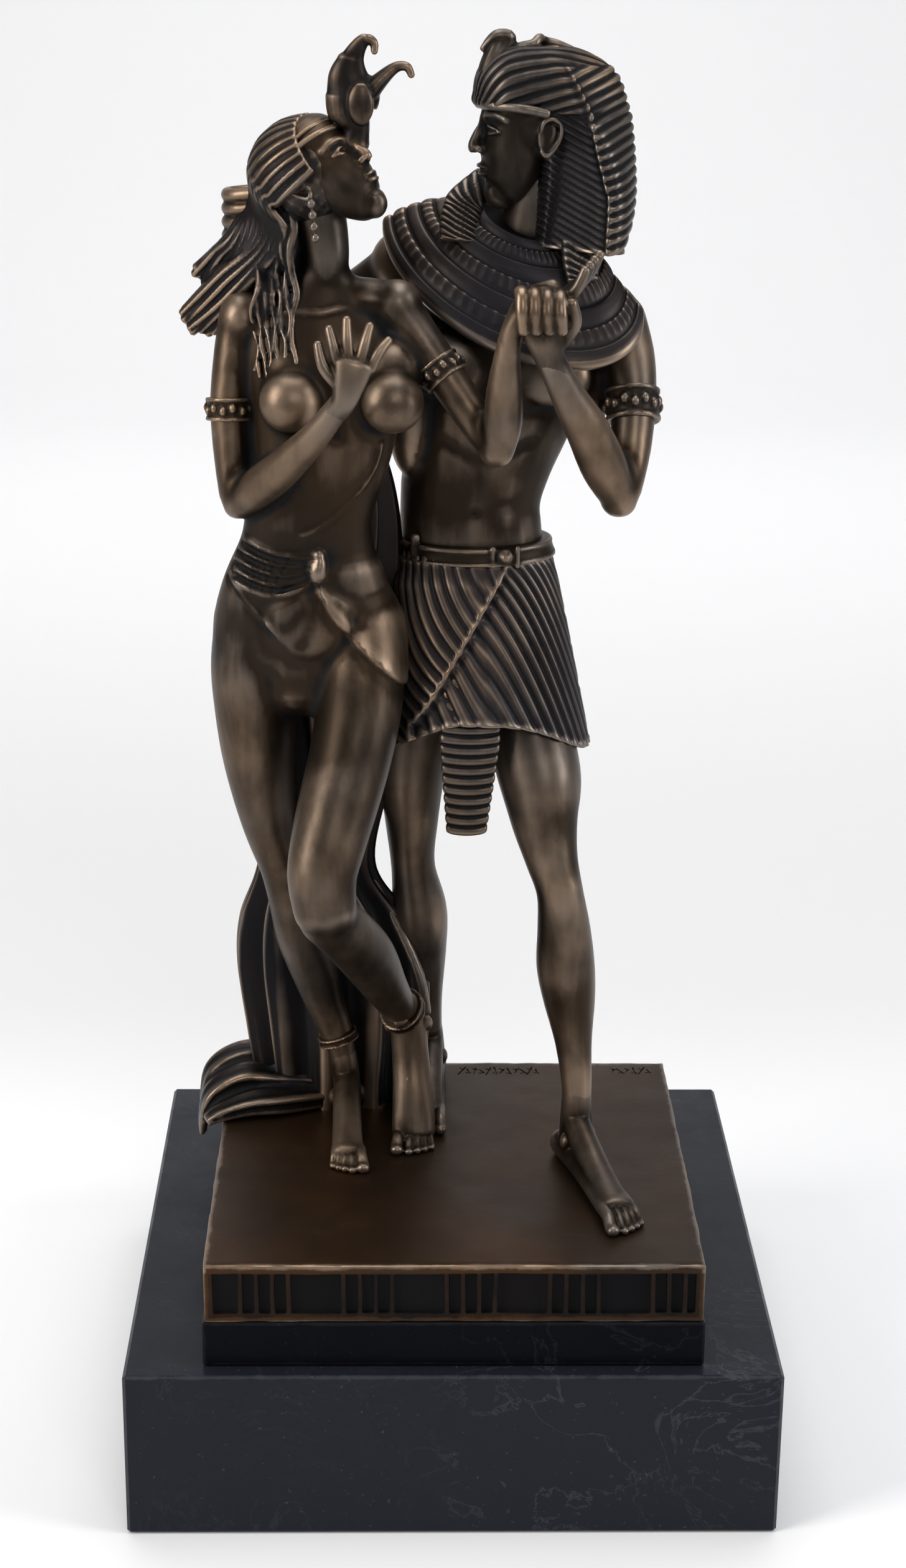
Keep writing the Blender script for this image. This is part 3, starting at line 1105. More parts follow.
def bosses(centre, along, side, a, b, count, size):
    """Small raised knobs round a ring, in two staggered rows."""
    t = unit(along)
    s = unit(np.asarray(side, float) - t * np.dot(side, t))
    d = np.cross(t, s)
    out = []
    for k in range(count):
        q = 2 * math.pi * k / count
        c = np.asarray(centre, float) + s * (a * math.cos(q)) + d * (b * math.sin(q)) + t * (0.28 * size * (-1)**k)
        out.append(ball(c, (0.75 * size, 0.75 * size, 0.9 * size), up=t, rows=8, sides=10))
    return out


def bracelets():
    out = []
    for centre, along, side, a, b, count, size in (
            ((40.3, -2.6, 184.0), (0.02, -0.42, -0.9), (1, 0, 0), 6.0, 6.6, 16, 1.5),
            ((-51.7, -8.8, 184.0), (0, -0.15, -1), (1, 0, 0), 5.0, 5.4, 14, 1.2),
            ((-3.6, -11.8, 193.4), (0.6, -0.3, -0.75), (0.8, 0.1, 0.6), 5.0, 5.5, 14, 1.2)):
        out += bosses(centre, along, side, a, b, count, size)
    out.append(ball((-12.4, -4.6, 30.6), (1.9, 1.0, 1.9)))
    return out + [
        band((40.3, -2.6, 184.0), (0.02, -0.42, -0.9), (1, 0, 0), 5.7, 6.3, 7.5),
        band((-51.7, -8.8, 184.0), (0, -0.15, -1), (1, 0, 0), 4.7, 5.1, 5.2),
        band((-3.6, -11.8, 193.4), (0.6, -0.3, -0.75), (0.8, 0.1, 0.6), 4.7, 5.2, 5.0),
        band((-28.2, 7.2, 21.0), (0.3, -0.1, -1), (1, 0, 0), 4.5, 5.1, 2.2),
        band((-12.0, 0.2, 31.4), (0.4, 0.6, -0.8), (1, 0, 0), 5.1, 5.5, 2.4),
    ]


DRAPE_LEVELS = (
    (-27.0, -3.5, 176, 6, 3, 3), (-26.5, 0.5, 171, 10, 3, 4.5), (-27.5, 3.0, 158, 14, 4, 5.5),
    (-31.0, 3.6, 143, 18.5, 4, 8.2), (-33.0, 4.6, 129, 20.5, 4, 9.6), (-32.0, 6.8, 109, 18.0, 4, 8.4),
    (-31.0, 10, 88, 14.6, 4, 6.5),
    (-33.5, 12.5, 66, 13.6, 4, 6.0), (-31.6, 14.5, 51, 20.4, 4.5, 6.0), (-29.8, 16, 37, 23.2, 5, 6.5),
    (-28.6, 16.6, 20, 22.2, 6, 7), (-28.2, 17, 6, 20.6, 7, 8), (-28.2, 17, -0.9, 21.2, 7.5, 8.5))


def drapery(folds, columns=20, steps=11):
    """The cloth that falls behind the woman's legs."""
    rings = []
    for x, y, z, a, f, b in smooth_rows(DRAPE_LEVELS, steps):
        fold = float(np.interp(z, (0, 60, 120, 170), (1.5, 1.1, 0.7, 0.4)))

        def relief(q, w=fold, h=z):
            main = np.cos(folds * q + 0.012 * h)
            fine = np.cos(2.3 * folds * q + 0.05 * h + 1.0)
            return w * (np.sign(main) * np.abs(main)**0.8) + 0.22 * w * fine
        rings.append(half_axis_ring((x, y, z), (a, 0, 0), (0, -f, 0), (0, b, 0), sides=folds * columns,
                                    relief=relief))
    return skin(rings)


def cloth_pool():
    """The end of the cloth, spread over the base and over its left edge."""
    fold = {"side": (0, 1, 0), "sides": 60, "steps": 10, "comb": 0.13, "lines": 5}
    return [
        limb([(-34, 16, 22, 3.0, 3.0), (-38, 16, 9, 6.0, 4.4), (-45, 16, 4.5, 6.0, 4.5)]),
        strand([(-38, 20, 7.0, 3.6, 3.6), (-45, 21.5, 8.6, 4.6, 4.0), (-53, 20.5, 9.4, 4.6, 3.6),
                (-59.4, 18, 6.6, 4.4, 3.2), (-62.2, 16.5, 0.5, 3.8, 1.8), (-62.8, 15.6, -4.4, 2.8, 1.0)], **fold),
        strand([(-33, 15, 4.5, 3.6, 3.6), (-44, 14.5, 5.6, 5.2, 4.2), (-52.5, 13.4, 6.6, 5.0, 3.8),
                (-59.4, 10.6, 3.8, 4.4, 3.0), (-62.4, 9.2, -1.6, 3.4, 1.5), (-62.9, 8.4, -6.4, 2.2, 0.9)], **fold),
        strand([(-32, 12, 2.4, 3.6, 2.6), (-43, 8.0, 3.2, 4.8, 3.0), (-51, 6.0, 3.0, 4.4, 2.6),
                (-57.6, 4.0, 1.6, 3.6, 2.0), (-61.6, 2.6, -0.2, 2.6, 1.2)], **fold),
        strand([(-47, 17.4, 8.0, 1.6, 1.6), (-55, 15.6, 7.6, 1.7, 1.5), (-61, 13.0, 2.6, 1.5, 1.2)],
               side=(0, 1, 0)),
        limb([(-21, 14, 64.5, 1.2, 1.2), (-13.6, 12.4, 50, 1.3, 1.3), (-8.0, 11, 37, 1.4, 1.4),
              (-6.0, 12, 26, 1.4, 1.4)], sides=8)]
# Faces: calm, of ordinary proportions, the same plan for both heads

def skull_forms(head):
    """Skull, brow, cheeks, jaw, nose and chin, laid out in shares of the head."""
    out = [
        head.ball(-0.06, 0, 0.13, 0.42, 0.335, 0.36),
        head.limb([
            (0.10, 0, 0.24, 0.30, 0.27),
            (0.12, 0, 0.10, 0.285, 0.26),
            (0.125, 0, -0.02, 0.280, 0.252),
            (0.14, 0, -0.12, 0.270, 0.245),
            (0.155, 0, -0.22, 0.245, 0.23),
            (0.18, 0, -0.31, 0.205, 0.205),
            (0.21, 0, -0.385, 0.155, 0.165),
            (0.245, 0, -0.435, 0.10, 0.115)], sides=32),
        head.ball(0.292, 0, -0.400, 0.062, 0.095, 0.065),
        head.limb([
            (0.350, 0, 0.125, 0.040, 0.050),
            (0.378, 0, 0.045, 0.036, 0.042),
            (0.412, 0, -0.020, 0.038, 0.042),
            (0.436, 0, -0.078, 0.040, 0.044),
            (0.440, 0, -0.108, 0.042, 0.042)], sides=20),
        head.ball(0.350, 0, -0.255, 0.050, 0.090, 0.060),
    ]
    for s in (-1, 1):
        out.append(head.ball(0.402, 0.050 * s, -0.112, 0.038, 0.032, 0.030))
        out.append(head.ball(0.215, 0.150 * s, -0.065, 0.092, 0.080, 0.085))
        out.append(head.limb([
            (0.358, 0.030 * s, 0.112, 0.024, 0.036),
            (0.345, 0.090 * s, 0.134, 0.026, 0.038),
            (0.308, 0.165 * s, 0.138, 0.026, 0.038),
            (0.245, 0.235 * s, 0.105, 0.024, 0.034)], side="u"))
        out.append(head.ball(-0.035, 0.322 * s, 0.0, 0.085, 0.034, 0.135))
    return out


def feature_forms(head):
    """Lips, lids and ears, to be melted with the softened skull."""
    out = [
        head.limb([
            (0.348, -0.095, -0.247, 0.010, 0.012),
            (0.376, -0.050, -0.237, 0.018, 0.020),
            (0.390, -0.015, -0.231, 0.021, 0.023),
            (0.387, 0, -0.234, 0.021, 0.022),
            (0.390, 0.015, -0.231, 0.021, 0.023),
            (0.376, 0.050, -0.237, 0.018, 0.020),
            (0.348, 0.095, -0.247, 0.010, 0.012)], side="u"),
        head.limb([
            (0.346, -0.080, -0.268, 0.010, 0.014),
            (0.371, -0.040, -0.280, 0.019, 0.022),
            (0.379, 0, -0.283, 0.022, 0.024),
            (0.371, 0.040, -0.280, 0.019, 0.022),
            (0.346, 0.080, -0.268, 0.010, 0.014)], side="u"),
    ]
    for s in (-1, 1):
        out.append(head.ball(0.292, 0.138 * s, 0.034, 0.066, 0.066, 0.048))
        out.append(head.limb([
            (0.322, 0.072 * s, 0.022, 0.009, 0.010),
            (0.358, 0.108 * s, 0.056, 0.012, 0.012),
            (0.352, 0.158 * s, 0.056, 0.012, 0.012),
            (0.300, 0.212 * s, 0.024, 0.010, 0.010)], side="u", sides=10))
        out.append(head.limb([
            (0.322, 0.072 * s, 0.020, 0.008, 0.009),
            (0.354, 0.112 * s, 0.006, 0.009, 0.010),
            (0.346, 0.162 * s, 0.006, 0.009, 0.010),
            (0.300, 0.212 * s, 0.022, 0.008, 0.009)], side="u", sides=10))
        out.append(head.limb([
            (0.020, 0.335 * s, 0.050, 0.016, 0.016),
            (0.008, 0.352 * s, 0.110, 0.020, 0.019),
            (-0.055, 0.362 * s, 0.134, 0.022, 0.020),
            (-0.112, 0.362 * s, 0.080, 0.022, 0.020),
            (-0.108, 0.356 * s, 0.000, 0.020, 0.019),
            (-0.065, 0.350 * s, -0.080, 0.020, 0.020),
            (-0.020, 0.345 * s, -0.122, 0.028, 0.022),
            (0.012, 0.335 * s, -0.095, 0.020, 0.018)], side="l", sides=12))
        out.append(head.limb([
            (-0.060, 0.348 * s, 0.088, 0.014, 0.014),
            (-0.068, 0.352 * s, 0.030, 0.016, 0.015),
            (-0.040, 0.348 * s, -0.040, 0.014, 0.014)], side="l", sides=10))
    return out


def face_strokes(head):
    """Tool strokes for eyes, nostrils, mouth and the hollows of the face."""
    h = head.h
    out = [
        (head.path([(0.380, -0.085, -0.257), (0.400, -0.03, -0.256), (0.405, 0, -0.258),
                    (0.400, 0.03, -0.256), (0.380, 0.085, -0.257)]), 0.011 * h, -0.016 * h),
        (head.path([(0.44, 0, -0.155), (0.43, 0, -0.200)]), 0.014 * h, -0.008 * h),
        (head.path([(0.39, -0.05, -0.335), (0.40, 0, -0.338), (0.39, 0.05, -0.335)]), 0.030 * h, -0.012 * h),
    ]
    for s in (-1, 1):
        out += [
            (head.path([(0.40, 0.045 * s, 0.055), (0.385, 0.060 * s, 0.020)]), 0.030 * h, -0.018 * h),
            (head.path([(0.37, 0.085 * s, 0.088), (0.365, 0.14 * s, 0.092), (0.325, 0.20 * s, 0.078)]),
             0.020 * h, -0.014 * h),
            (head.path([(0.345, 0.085 * s, 0.030), (0.362, 0.125 * s, 0.033), (0.325, 0.195 * s, 0.026)]),
             0.009 * h, -0.010 * h),
            (head.path([(0.445, 0.028 * s, -0.148), (0.425, 0.036 * s, -0.150)]), 0.013 * h, -0.020 * h),
            (head.path([(0.425, 0.082 * s, -0.105), (0.405, 0.085 * s, -0.140)]), 0.011 * h, -0.008 * h),
            (head.path([(-0.015, 0.375 * s, 0.050), (-0.020, 0.375 * s, -0.030)]), 0.022 * h, -0.016 * h),
            (head.path([(-0.085, 0.375 * s, 0.090), (-0.085, 0.375 * s, 0.000)]), 0.010 * h, -0.012 * h),
        ]
    return out
# Materials

def new_group(name, inputs, outputs):
    """A shader node group with named sockets: (name, kind, default)."""
    group = bpy.data.node_groups.new(name, "ShaderNodeTree")
    for label, kind, default in inputs:
        socket = group.interface.new_socket(label, in_out="INPUT", socket_type=kind)
        if default is not None:
            socket.default_value = default
    for label, kind in outputs:
        group.interface.new_socket(label, in_out="OUTPUT", socket_type=kind)
    return group, group.nodes.new("NodeGroupInput"), group.nodes.new("NodeGroupOutput")


def link(tree, a, b):
    tree.links.new(a, b)


def math_node(tree, operation, a, b=None, c=None, clamp=False):
    node = tree.nodes.new("ShaderNodeMath")
    node.operation = operation
    node.use_clamp = clamp
    for socket, value in zip(node.inputs, (a, b, c)):
        if value is None:
            continue
        if isinstance(value, (int, float)):
            socket.default_value = value
        else:
            link(tree, value, socket)
    return node.outputs[0]


def noise_node(tree, vector, scale, detail=4.0, rough=0.55, distort=0.0):
    node = tree.nodes.new("ShaderNodeTexNoise")
    node.inputs["Scale"].default_value = scale
    node.inputs["Detail"].default_value = detail
    node.inputs["Roughness"].default_value = rough
    node.inputs["Distortion"].default_value = distort
    link(tree, vector, node.inputs["Vector"])
    return node.outputs["Fac"]


def mix_colour(tree, fac, a, b, blend="MIX"):
    node = tree.nodes.new("ShaderNodeMix")
    node.data_type = "RGBA"
    node.blend_type = blend
    for socket, value in ((node.inputs[0], fac), (node.inputs[6], a), (node.inputs[7], b)):
        if isinstance(value, (int, float)):
            socket.default_value = value
        elif isinstance(value, tuple):
            socket.default_value = value
        else:
            link(tree, value, socket)
    return node.outputs[2]


def range_node(tree, value, low, high, to_low=0.0, to_high=1.0):
    node = tree.nodes.new("ShaderNodeMapRange")
    node.interpolation_type = "SMOOTHSTEP"
    for label, number in (("From Min", low), ("From Max", high), ("To Min", to_low), ("To Max", to_high)):
        node.inputs[label].default_value = number
    link(tree, value, node.inputs["Value"])
    return node.outputs["Result"]


def patina_group():
    """Colour, gloss and height of dark bronze that is rubbed bright on its crests."""
    group, given, out = new_group(
        "patina",
        [("Crest", "NodeSocketFloat", 0.5), ("Rub", "NodeSocketFloat", 1.0),
         ("Hollow", "NodeSocketColor", (0.02, 0.018, 0.02, 1)),
         ("Body", "NodeSocketColor", (0.1, 0.06, 0.03, 1)),
         ("Bright", "NodeSocketColor", (0.4, 0.26, 0.13, 1))],
        [("Color", "NodeSocketColor"), ("Roughness", "NodeSocketFloat"), ("Metallic", "NodeSocketFloat"),
         ("Height", "NodeSocketFloat")])
    coords = group.nodes.new("ShaderNodeTexCoord").outputs["Object"]
    cloud = noise_node(group, coords, 38.0, 5.0, 0.6, 0.4)
    blotch = noise_node(group, coords, 24.0, 3.0, 0.5)
    grain = noise_node(group, coords, 420.0, 3.0, 0.6)
    brush = group.nodes.new("ShaderNodeMapping")
    brush.inputs["Scale"].default_value = (260.0, 260.0, 28.0)
    link(group, coords, brush.inputs["Vector"])
    streak = noise_node(group, brush.outputs[0], 1.0, 3.0, 0.6)
    crest = given.outputs["Crest"]
    varied = math_node(group, "MULTIPLY_ADD", math_node(group, "SUBTRACT", cloud, 0.5), 0.36, crest)
    varied = math_node(group, "MULTIPLY_ADD", math_node(group, "SUBTRACT", streak, 0.5), 0.16, varied)
    bright = range_node(group, varied, 0.55, 1.0)
    bright = math_node(group, "MULTIPLY", bright, given.outputs["Rub"], clamp=True)
    hollow = range_node(group, varied, 0.46, 0.12)
    tone = mix_colour(group, bright, given.outputs["Body"], given.outputs["Bright"])
    tone = mix_colour(group, hollow, tone, given.outputs["Hollow"])
    drift = mix_colour(group, range_node(group, blotch, 0.34, 0.66), (0.76, 0.79, 0.86, 1.0), (1.24, 1.08, 0.94, 1.0))
    tone = mix_colour(group, 1.0, tone, drift, "MULTIPLY")
    link(group, tone, out.inputs["Color"])
    rough = math_node(group, "MULTIPLY_ADD", math_node(group, "SUBTRACT", cloud, 0.5), 0.30, 0.44)
    rough = math_node(group, "MULTIPLY_ADD", bright, -0.08, rough)
    rough = math_node(group, "MULTIPLY_ADD", hollow, 0.22, rough, clamp=True)
    link(group, rough, out.inputs["Roughness"])
    link(group, math_node(group, "MULTIPLY_ADD", hollow, -0.45, 0.85), out.inputs["Metallic"])
    height = math_node(group, "MULTIPLY_ADD", grain, 0.35, cloud)
    link(group, height, out.inputs["Height"])
    return group


def block_edge_group():
    """How near a point of a square block is to an edge: 1 on the edge, 0 a little way in."""
    group, given, out = new_group(
        "block_edge",
        [("Centre", "NodeSocketVector", (0, 0, 0)), ("Half", "NodeSocketVector", (1, 1, 1)),
         ("Width", "NodeSocketFloat", 0.001)],
        [("Edge", "NodeSocketFloat"), ("Depth", "NodeSocketFloat")])
    coords = group.nodes.new("ShaderNodeTexCoord").outputs["Object"]

    def vector(operation, a, b=None):
        node = group.nodes.new("ShaderNodeVectorMath")
        node.operation = operation
        link(group, a, node.inputs[0])
        if b is not None:
            link(group, b, node.inputs[1])
        return node.outputs[0]

    inside = vector("SUBTRACT", given.outputs["Half"],
                    vector("ABSOLUTE", vector("SUBTRACT", coords, given.outputs["Centre"])))
    split = group.nodes.new("ShaderNodeSeparateXYZ")
    link(group, inside, split.inputs[0])
    x, y, z = split.outputs[:3]
    low = math_node(group, "MINIMUM", math_node(group, "MINIMUM", x, y), z)
    high = math_node(group, "MAXIMUM", math_node(group, "MAXIMUM", x, y), z)
    total = math_node(group, "ADD", math_node(group, "ADD", x, y), z)
    second = math_node(group, "SUBTRACT", math_node(group, "SUBTRACT", total, low), high)
    ragged = noise_node(group, coords, 240.0, 3.0, 0.6)
    reach = math_node(group, "MULTIPLY", given.outputs["Width"],
                      math_node(group, "MULTIPLY_ADD", ragged, 2.0, 0.2))
    near = math_node(group, "SUBTRACT", 1.0, math_node(group, "DIVIDE", second, reach), clamp=True)
    link(group, near, out.inputs["Edge"])
    link(group, low, out.inputs["Depth"])
    return group


def place_group(tree, name):
    node = tree.nodes.new("ShaderNodeGroup")
    node.node_tree = bpy.data.node_groups[name]
    return node


def new_material(name, roughness=0.4, metallic=0.0):
    mat = bpy.data.materials.new(name)
    mat.use_nodes = True
    shader = mat.node_tree.nodes["Principled BSDF"]
    shader.inputs["Roughness"].default_value = roughness
    shader.inputs["Metallic"].default_value = metallic
    return mat, mat.node_tree, shader


def bump(tree, height, shader, strength, distance):
    node = tree.nodes.new("ShaderNodeBump")
    node.inputs["Strength"].default_value = strength
    node.inputs["Distance"].default_value = distance
    link(tree, height, node.inputs["Height"])
    link(tree, node.outputs[0], shader.inputs["Normal"])


def bronze_material(name, hollow, body, bright, rub=1.0, grain=0.25):
    """Patinated bronze whose crests are read from the piece's own carving."""
    mat, tree, shader = new_material(name, 0.42, 0.8)
    shader.inputs["Specular IOR Level"].default_value = 0.25
    crest = tree.nodes.new("ShaderNodeAttribute")
    crest.attribute_name = "crest"
    node = place_group(tree, "patina")
    node.inputs["Rub"].default_value = rub
    node.inputs["Hollow"].default_value = hollow
    node.inputs["Body"].default_value = body
    node.inputs["Bright"].default_value = bright
    link(tree, crest.outputs["Fac"], node.inputs["Crest"])
    link(tree, node.outputs["Color"], shader.inputs["Base Color"])
    link(tree, node.outputs["Roughness"], shader.inputs["Roughness"])
    link(tree, node.outputs["Metallic"], shader.inputs["Metallic"])
    bump(tree, node.outputs["Height"], shader, grain, 0.0003)
    return mat


def base_material(centre, half, hollow, body, bright):
    """The bronze base: warm on top, dark in the frieze, worn along its edges."""
    mat, tree, shader = new_material("base_bronze", 0.42, 0.8)
    shader.inputs["Specular IOR Level"].default_value = 0.15
    edge = place_group(tree, "block_edge")
    edge.inputs["Centre"].default_value = centre
    edge.inputs["Half"].default_value = half
    edge.inputs["Width"].default_value = 0.0011
    node = place_group(tree, "patina")
    node.inputs["Hollow"].default_value = hollow
    node.inputs["Body"].default_value = body
    node.inputs["Bright"].default_value = bright
    sunk = range_node(tree, edge.outputs["Depth"], 0.00045, 0.0008)
    crest = math_node(tree, "MULTIPLY_ADD", edge.outputs["Edge"], 0.55, 0.5)
    crest = math_node(tree, "MULTIPLY_ADD", sunk, -0.6, crest)
    coords = tree.nodes.new("ShaderNodeTexCoord").outputs["Object"]
    place = tree.nodes.new("ShaderNodeSeparateXYZ")
    link(tree, coords, place.inputs[0])
    top = centre[2] + half[2]
    flank = range_node(tree, place.outputs["Z"], top - 0.0014, top - 0.0024, 0.0, 0.24)
    crest = math_node(tree, "SUBTRACT", crest, flank)
    brush = tree.nodes.new("ShaderNodeMapping")
    brush.inputs["Rotation"].default_value = (0.0, 0.0, 0.5)
    brush.inputs["Scale"].default_value = (26.0, 190.0, 60.0)
    link(tree, coords, brush.inputs["Vector"])
    sweeps = noise_node(tree, brush.outputs[0], 1.0, 4.0, 0.6, 0.8)
    crest = math_node(tree, "MULTIPLY_ADD", math_node(tree, "SUBTRACT", sweeps, 0.5), 0.28, crest, clamp=True)
    link(tree, crest, node.inputs["Crest"])
    link(tree, node.outputs["Color"], shader.inputs["Base Color"])
    link(tree, node.outputs["Roughness"], shader.inputs["Roughness"])
    link(tree, node.outputs["Metallic"], shader.inputs["Metallic"])
    bump(tree, node.outputs["Height"], shader, 0.25, 0.0003)
    return mat


def marble_material(name, centre, half, stone, vein, gloss):
    """Black marble with thin cloudy veins, hazy on its arrises."""
    mat, tree, shader = new_material(name, 0.3, 0.0)
    shader.inputs["Specular IOR Level"].default_value = gloss
    coords = tree.nodes.new("ShaderNodeTexCoord").outputs["Object"]
    edge = place_group(tree, "block_edge")
    edge.inputs["Centre"].default_value = centre
    edge.inputs["Half"].default_value = half
    edge.inputs["Width"].default_value = 0.0007
    wander = noise_node(tree, coords, 34.0, 6.0, 0.62, 1.2)
    line = math_node(tree, "ABSOLUTE", math_node(tree, "SUBTRACT", wander, 0.5))
    veins = range_node(tree, line, 0.014, 0.0)
    patches = range_node(tree, noise_node(tree, coords, 9.0, 3.0, 0.5), 0.45, 0.7)
    veins = math_node(tree, "MULTIPLY", veins, patches)
    cloud = range_node(tree, noise_node(tree, coords, 24.0, 5.0, 0.6, 0.6), 0.35, 0.75)
    specks = range_node(tree, noise_node(tree, coords, 900.0, 2.0, 0.5), 0.68, 0.78)
    tone = mix_colour(tree, math_node(tree, "MULTIPLY", cloud, 0.40), stone,
                      tuple(0.65 * s + 0.05 * v for s, v in zip(stone[:3], vein[:3])) + (1.0,))
    tone = mix_colour(tree, math_node(tree, "MULTIPLY", veins, 0.22), tone, vein)
    tone = mix_colour(tree, math_node(tree, "MULTIPLY", specks, 0.25), tone, vein)
    tone = mix_colour(tree, math_node(tree, "MULTIPLY", edge.outputs["Edge"], 0.35), tone, vein)
    link(tree, tone, shader.inputs["Base Color"])
    scuff = range_node(tree, noise_node(tree, coords, 60.0, 6.0, 0.7, 0.5), 0.3, 0.75, 0.24, 0.46)
    link(tree, scuff, shader.inputs["Roughness"])
    bump(tree, noise_node(tree, coords, 500.0, 3.0, 0.6), shader, 0.06, 0.0002)
    return mat
# Sizes and colours a user would change

class StatueBronze(bpy.types.PropertyGroup):
    """Patina of the bronze."""
    hollow: bpy.props.FloatVectorProperty(
        name="Hollows", description="Colour left in the hollows", subtype="COLOR", size=4, min=0, max=1,
        default=(0.0036, 0.0033, 0.0042, 1.0))
    skin: bpy.props.FloatVectorProperty(
        name="Skin", description="Body colour of the smooth skin", subtype="COLOR", size=4, min=0, max=1,
        default=(0.026, 0.0187, 0.0128, 1.0))
    cloth: bpy.props.FloatVectorProperty(
        name="Cloth and hair", description="Body colour of cloth and hair", subtype="COLOR", size=4, min=0,
        max=1, default=(0.0140, 0.0125, 0.0130, 1.0))
    bright: bpy.props.FloatVectorProperty(
        name="Rubbed metal", description="Colour of the rubbed crests", subtype="COLOR", size=4, min=0, max=1,
        default=(0.225, 0.181, 0.142, 1.0))
    base: bpy.props.FloatVectorProperty(
        name="Base", description="Warm colour of the base", subtype="COLOR", size=4, min=0, max=1,
        default=(0.043, 0.0250, 0.0137, 1.0))
    rub: bpy.props.FloatProperty(
        name="Rubbing", description="How strongly the crests are rubbed bright", default=0.85, min=0, max=1,
        subtype="FACTOR")


class StatueMarble(bpy.types.PropertyGroup):
    """Stone of the step and the plinth."""
    stone: bpy.props.FloatVectorProperty(
        name="Stone", description="Ground colour of the stone", subtype="COLOR", size=4, min=0, max=1,
        default=(0.010, 0.011, 0.0168, 1.0))
    vein: bpy.props.FloatVectorProperty(
        name="Veins", description="Colour of the thin veins", subtype="COLOR", size=4, min=0, max=1,
        default=(0.11, 0.115, 0.13, 1.0))


class StatueCarving(bpy.types.PropertyGroup):
    """How finely the dress is carved."""
    pleats: bpy.props.IntProperty(name="Kilt pleats", description="Pleats round the kilt", default=38, min=20, max=90)
    stripes: bpy.props.IntProperty(name="Headcloth stripes", description="Stripes down the headcloth",
                                   default=11, min=5, max=16)
    bands: bpy.props.IntProperty(name="Collar bands", description="Rows of the broad collar", default=7, min=3, max=9)
    ribs: bpy.props.IntProperty(name="Apron ribs", description="Ribs of the hanging tongue", default=15, min=6, max=20)
    folds: bpy.props.IntProperty(name="Cloth folds", description="Folds of the cloth behind", default=11, min=6, max=16)
    voxel: bpy.props.FloatProperty(name="Figure grain", description="Fineness of the melted skins, in grid units",
                                   default=0.6, min=0.45, max=1.2)


class StatueStage(bpy.types.PropertyGroup):
    """Floor and lights."""
    floor: bpy.props.FloatVectorProperty(
        name="Floor", description="Colour of the floor and backdrop", subtype="COLOR", size=4, min=0, max=1,
        default=(0.86, 0.86, 0.87, 1.0))
    strength: bpy.props.FloatProperty(name="Light", description="Strength of all the lights", default=1.0,
                                      min=0.1, max=4.0)


MATERIALS = {}


def settings():
    return bpy.context.scene


def bronze(name, body, rub=1.0, grain=0.25):
    """One of the bronze finishes, made once."""
    if name not in MATERIALS:
        look = settings().statue_bronze
        MATERIALS[name] = bronze_material(name, tuple(look.hollow), tuple(body), tuple(look.bright),
                                          look.rub * rub, grain)
    return MATERIALS[name]


def skin_bronze():
    return bronze("skin_bronze", settings().statue_bronze.skin)


def kilt_bronze():
    """The kilt and the collar are rubbed brighter than the hair."""
    cloth = settings().statue_bronze.cloth
    return bronze("kilt_bronze", [1.9 * c for c in cloth[:3]] + [1.0], 1.15, 0.3)


def cloth_bronze():
    return bronze("cloth_bronze", settings().statue_bronze.cloth, 1.0, 0.3)


class STATUE_OT_finishes(bpy.types.Operator):
    """Prepare the node groups that the finishes share"""
    bl_idname = "statue.finishes"
    bl_label = "Prepare finishes"

    def execute(self, context):
        MATERIALS.clear()
        patina_group()
        block_edge_group()
        return {"FINISHED"}


class STATUE_OT_man(bpy.types.Operator):
    """Model the man's body"""
    bl_idname = "statue.man"
    bl_label = "Man's body"

    def execute(self, context):
        carving = context.scene.statue_carving
        core = melted("man_core", man_figure(), 0.75, 2)
        soften(core, 36)
        carve(core, man_strokes())
        obj = melted("man_body", [shape_of(core)], carving.voxel, 1, 104000)
        finish(obj, skin_bronze(), reach=12, gain=0.8)
        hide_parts("bronze_group")
        return {"FINISHED"}


class STATUE_OT_woman(bpy.types.Operator):
    """Model the woman's body in her close dress"""
    bl_idname = "statue.woman"
    bl_label = "Woman's body"

    def execute(self, context):
        carving = context.scene.statue_carving
        core = melted("woman_core", woman_figure(), 0.75, 2)
        soften(core, 36)
        obj = melted("woman_body", [shape_of(core)], carving.voxel, 1, None)
        raise_cloth(obj, flap_weight, 0.9)
        carve(obj, woman_strokes())
        thin_to(obj, 110000)
        finish(obj, skin_bronze(), reach=12, gain=0.65)
        return {"FINISHED"}


class STATUE_OT_ends(bpy.types.Operator):
    """Model the hands and the feet, finer than the bodies"""
    bl_idname = "statue.ends"
    bl_label = "Hands and feet"

    def execute(self, context):
        for name, shapes, count in (("feet", feet(), 46000),
                                    ("hands", resting_hand() + clasped_hands() + open_hand(), 38000)):
            obj = melted(name, shapes, 0.32, 1, None)
            soften(obj, 3)
            thin_to(obj, count)
            finish(obj, skin_bronze(), reach=20, gain=0.7, level=0.62)
        return {"FINISHED"}


class STATUE_OT_heads(bpy.types.Operator):
    """Model the two heads"""
    bl_idname = "statue.heads"
    bl_label = "Heads"

    def execute(self, context):
        for name, head in (("man_head", MAN_HEAD), ("woman_head", WOMAN_HEAD)):
            skull = melted(name + "_skull", skull_forms(head), 0.42, 2)
            soften(skull, 14)
            obj = melted(name, [shape_of(skull)] + feature_forms(head), 0.25, 2)
            carve(obj, face_strokes(head))
            thin_to(obj, 70000)
            finish(obj, skin_bronze(), reach=20, gain=0.6)
        return {"FINISHED"}


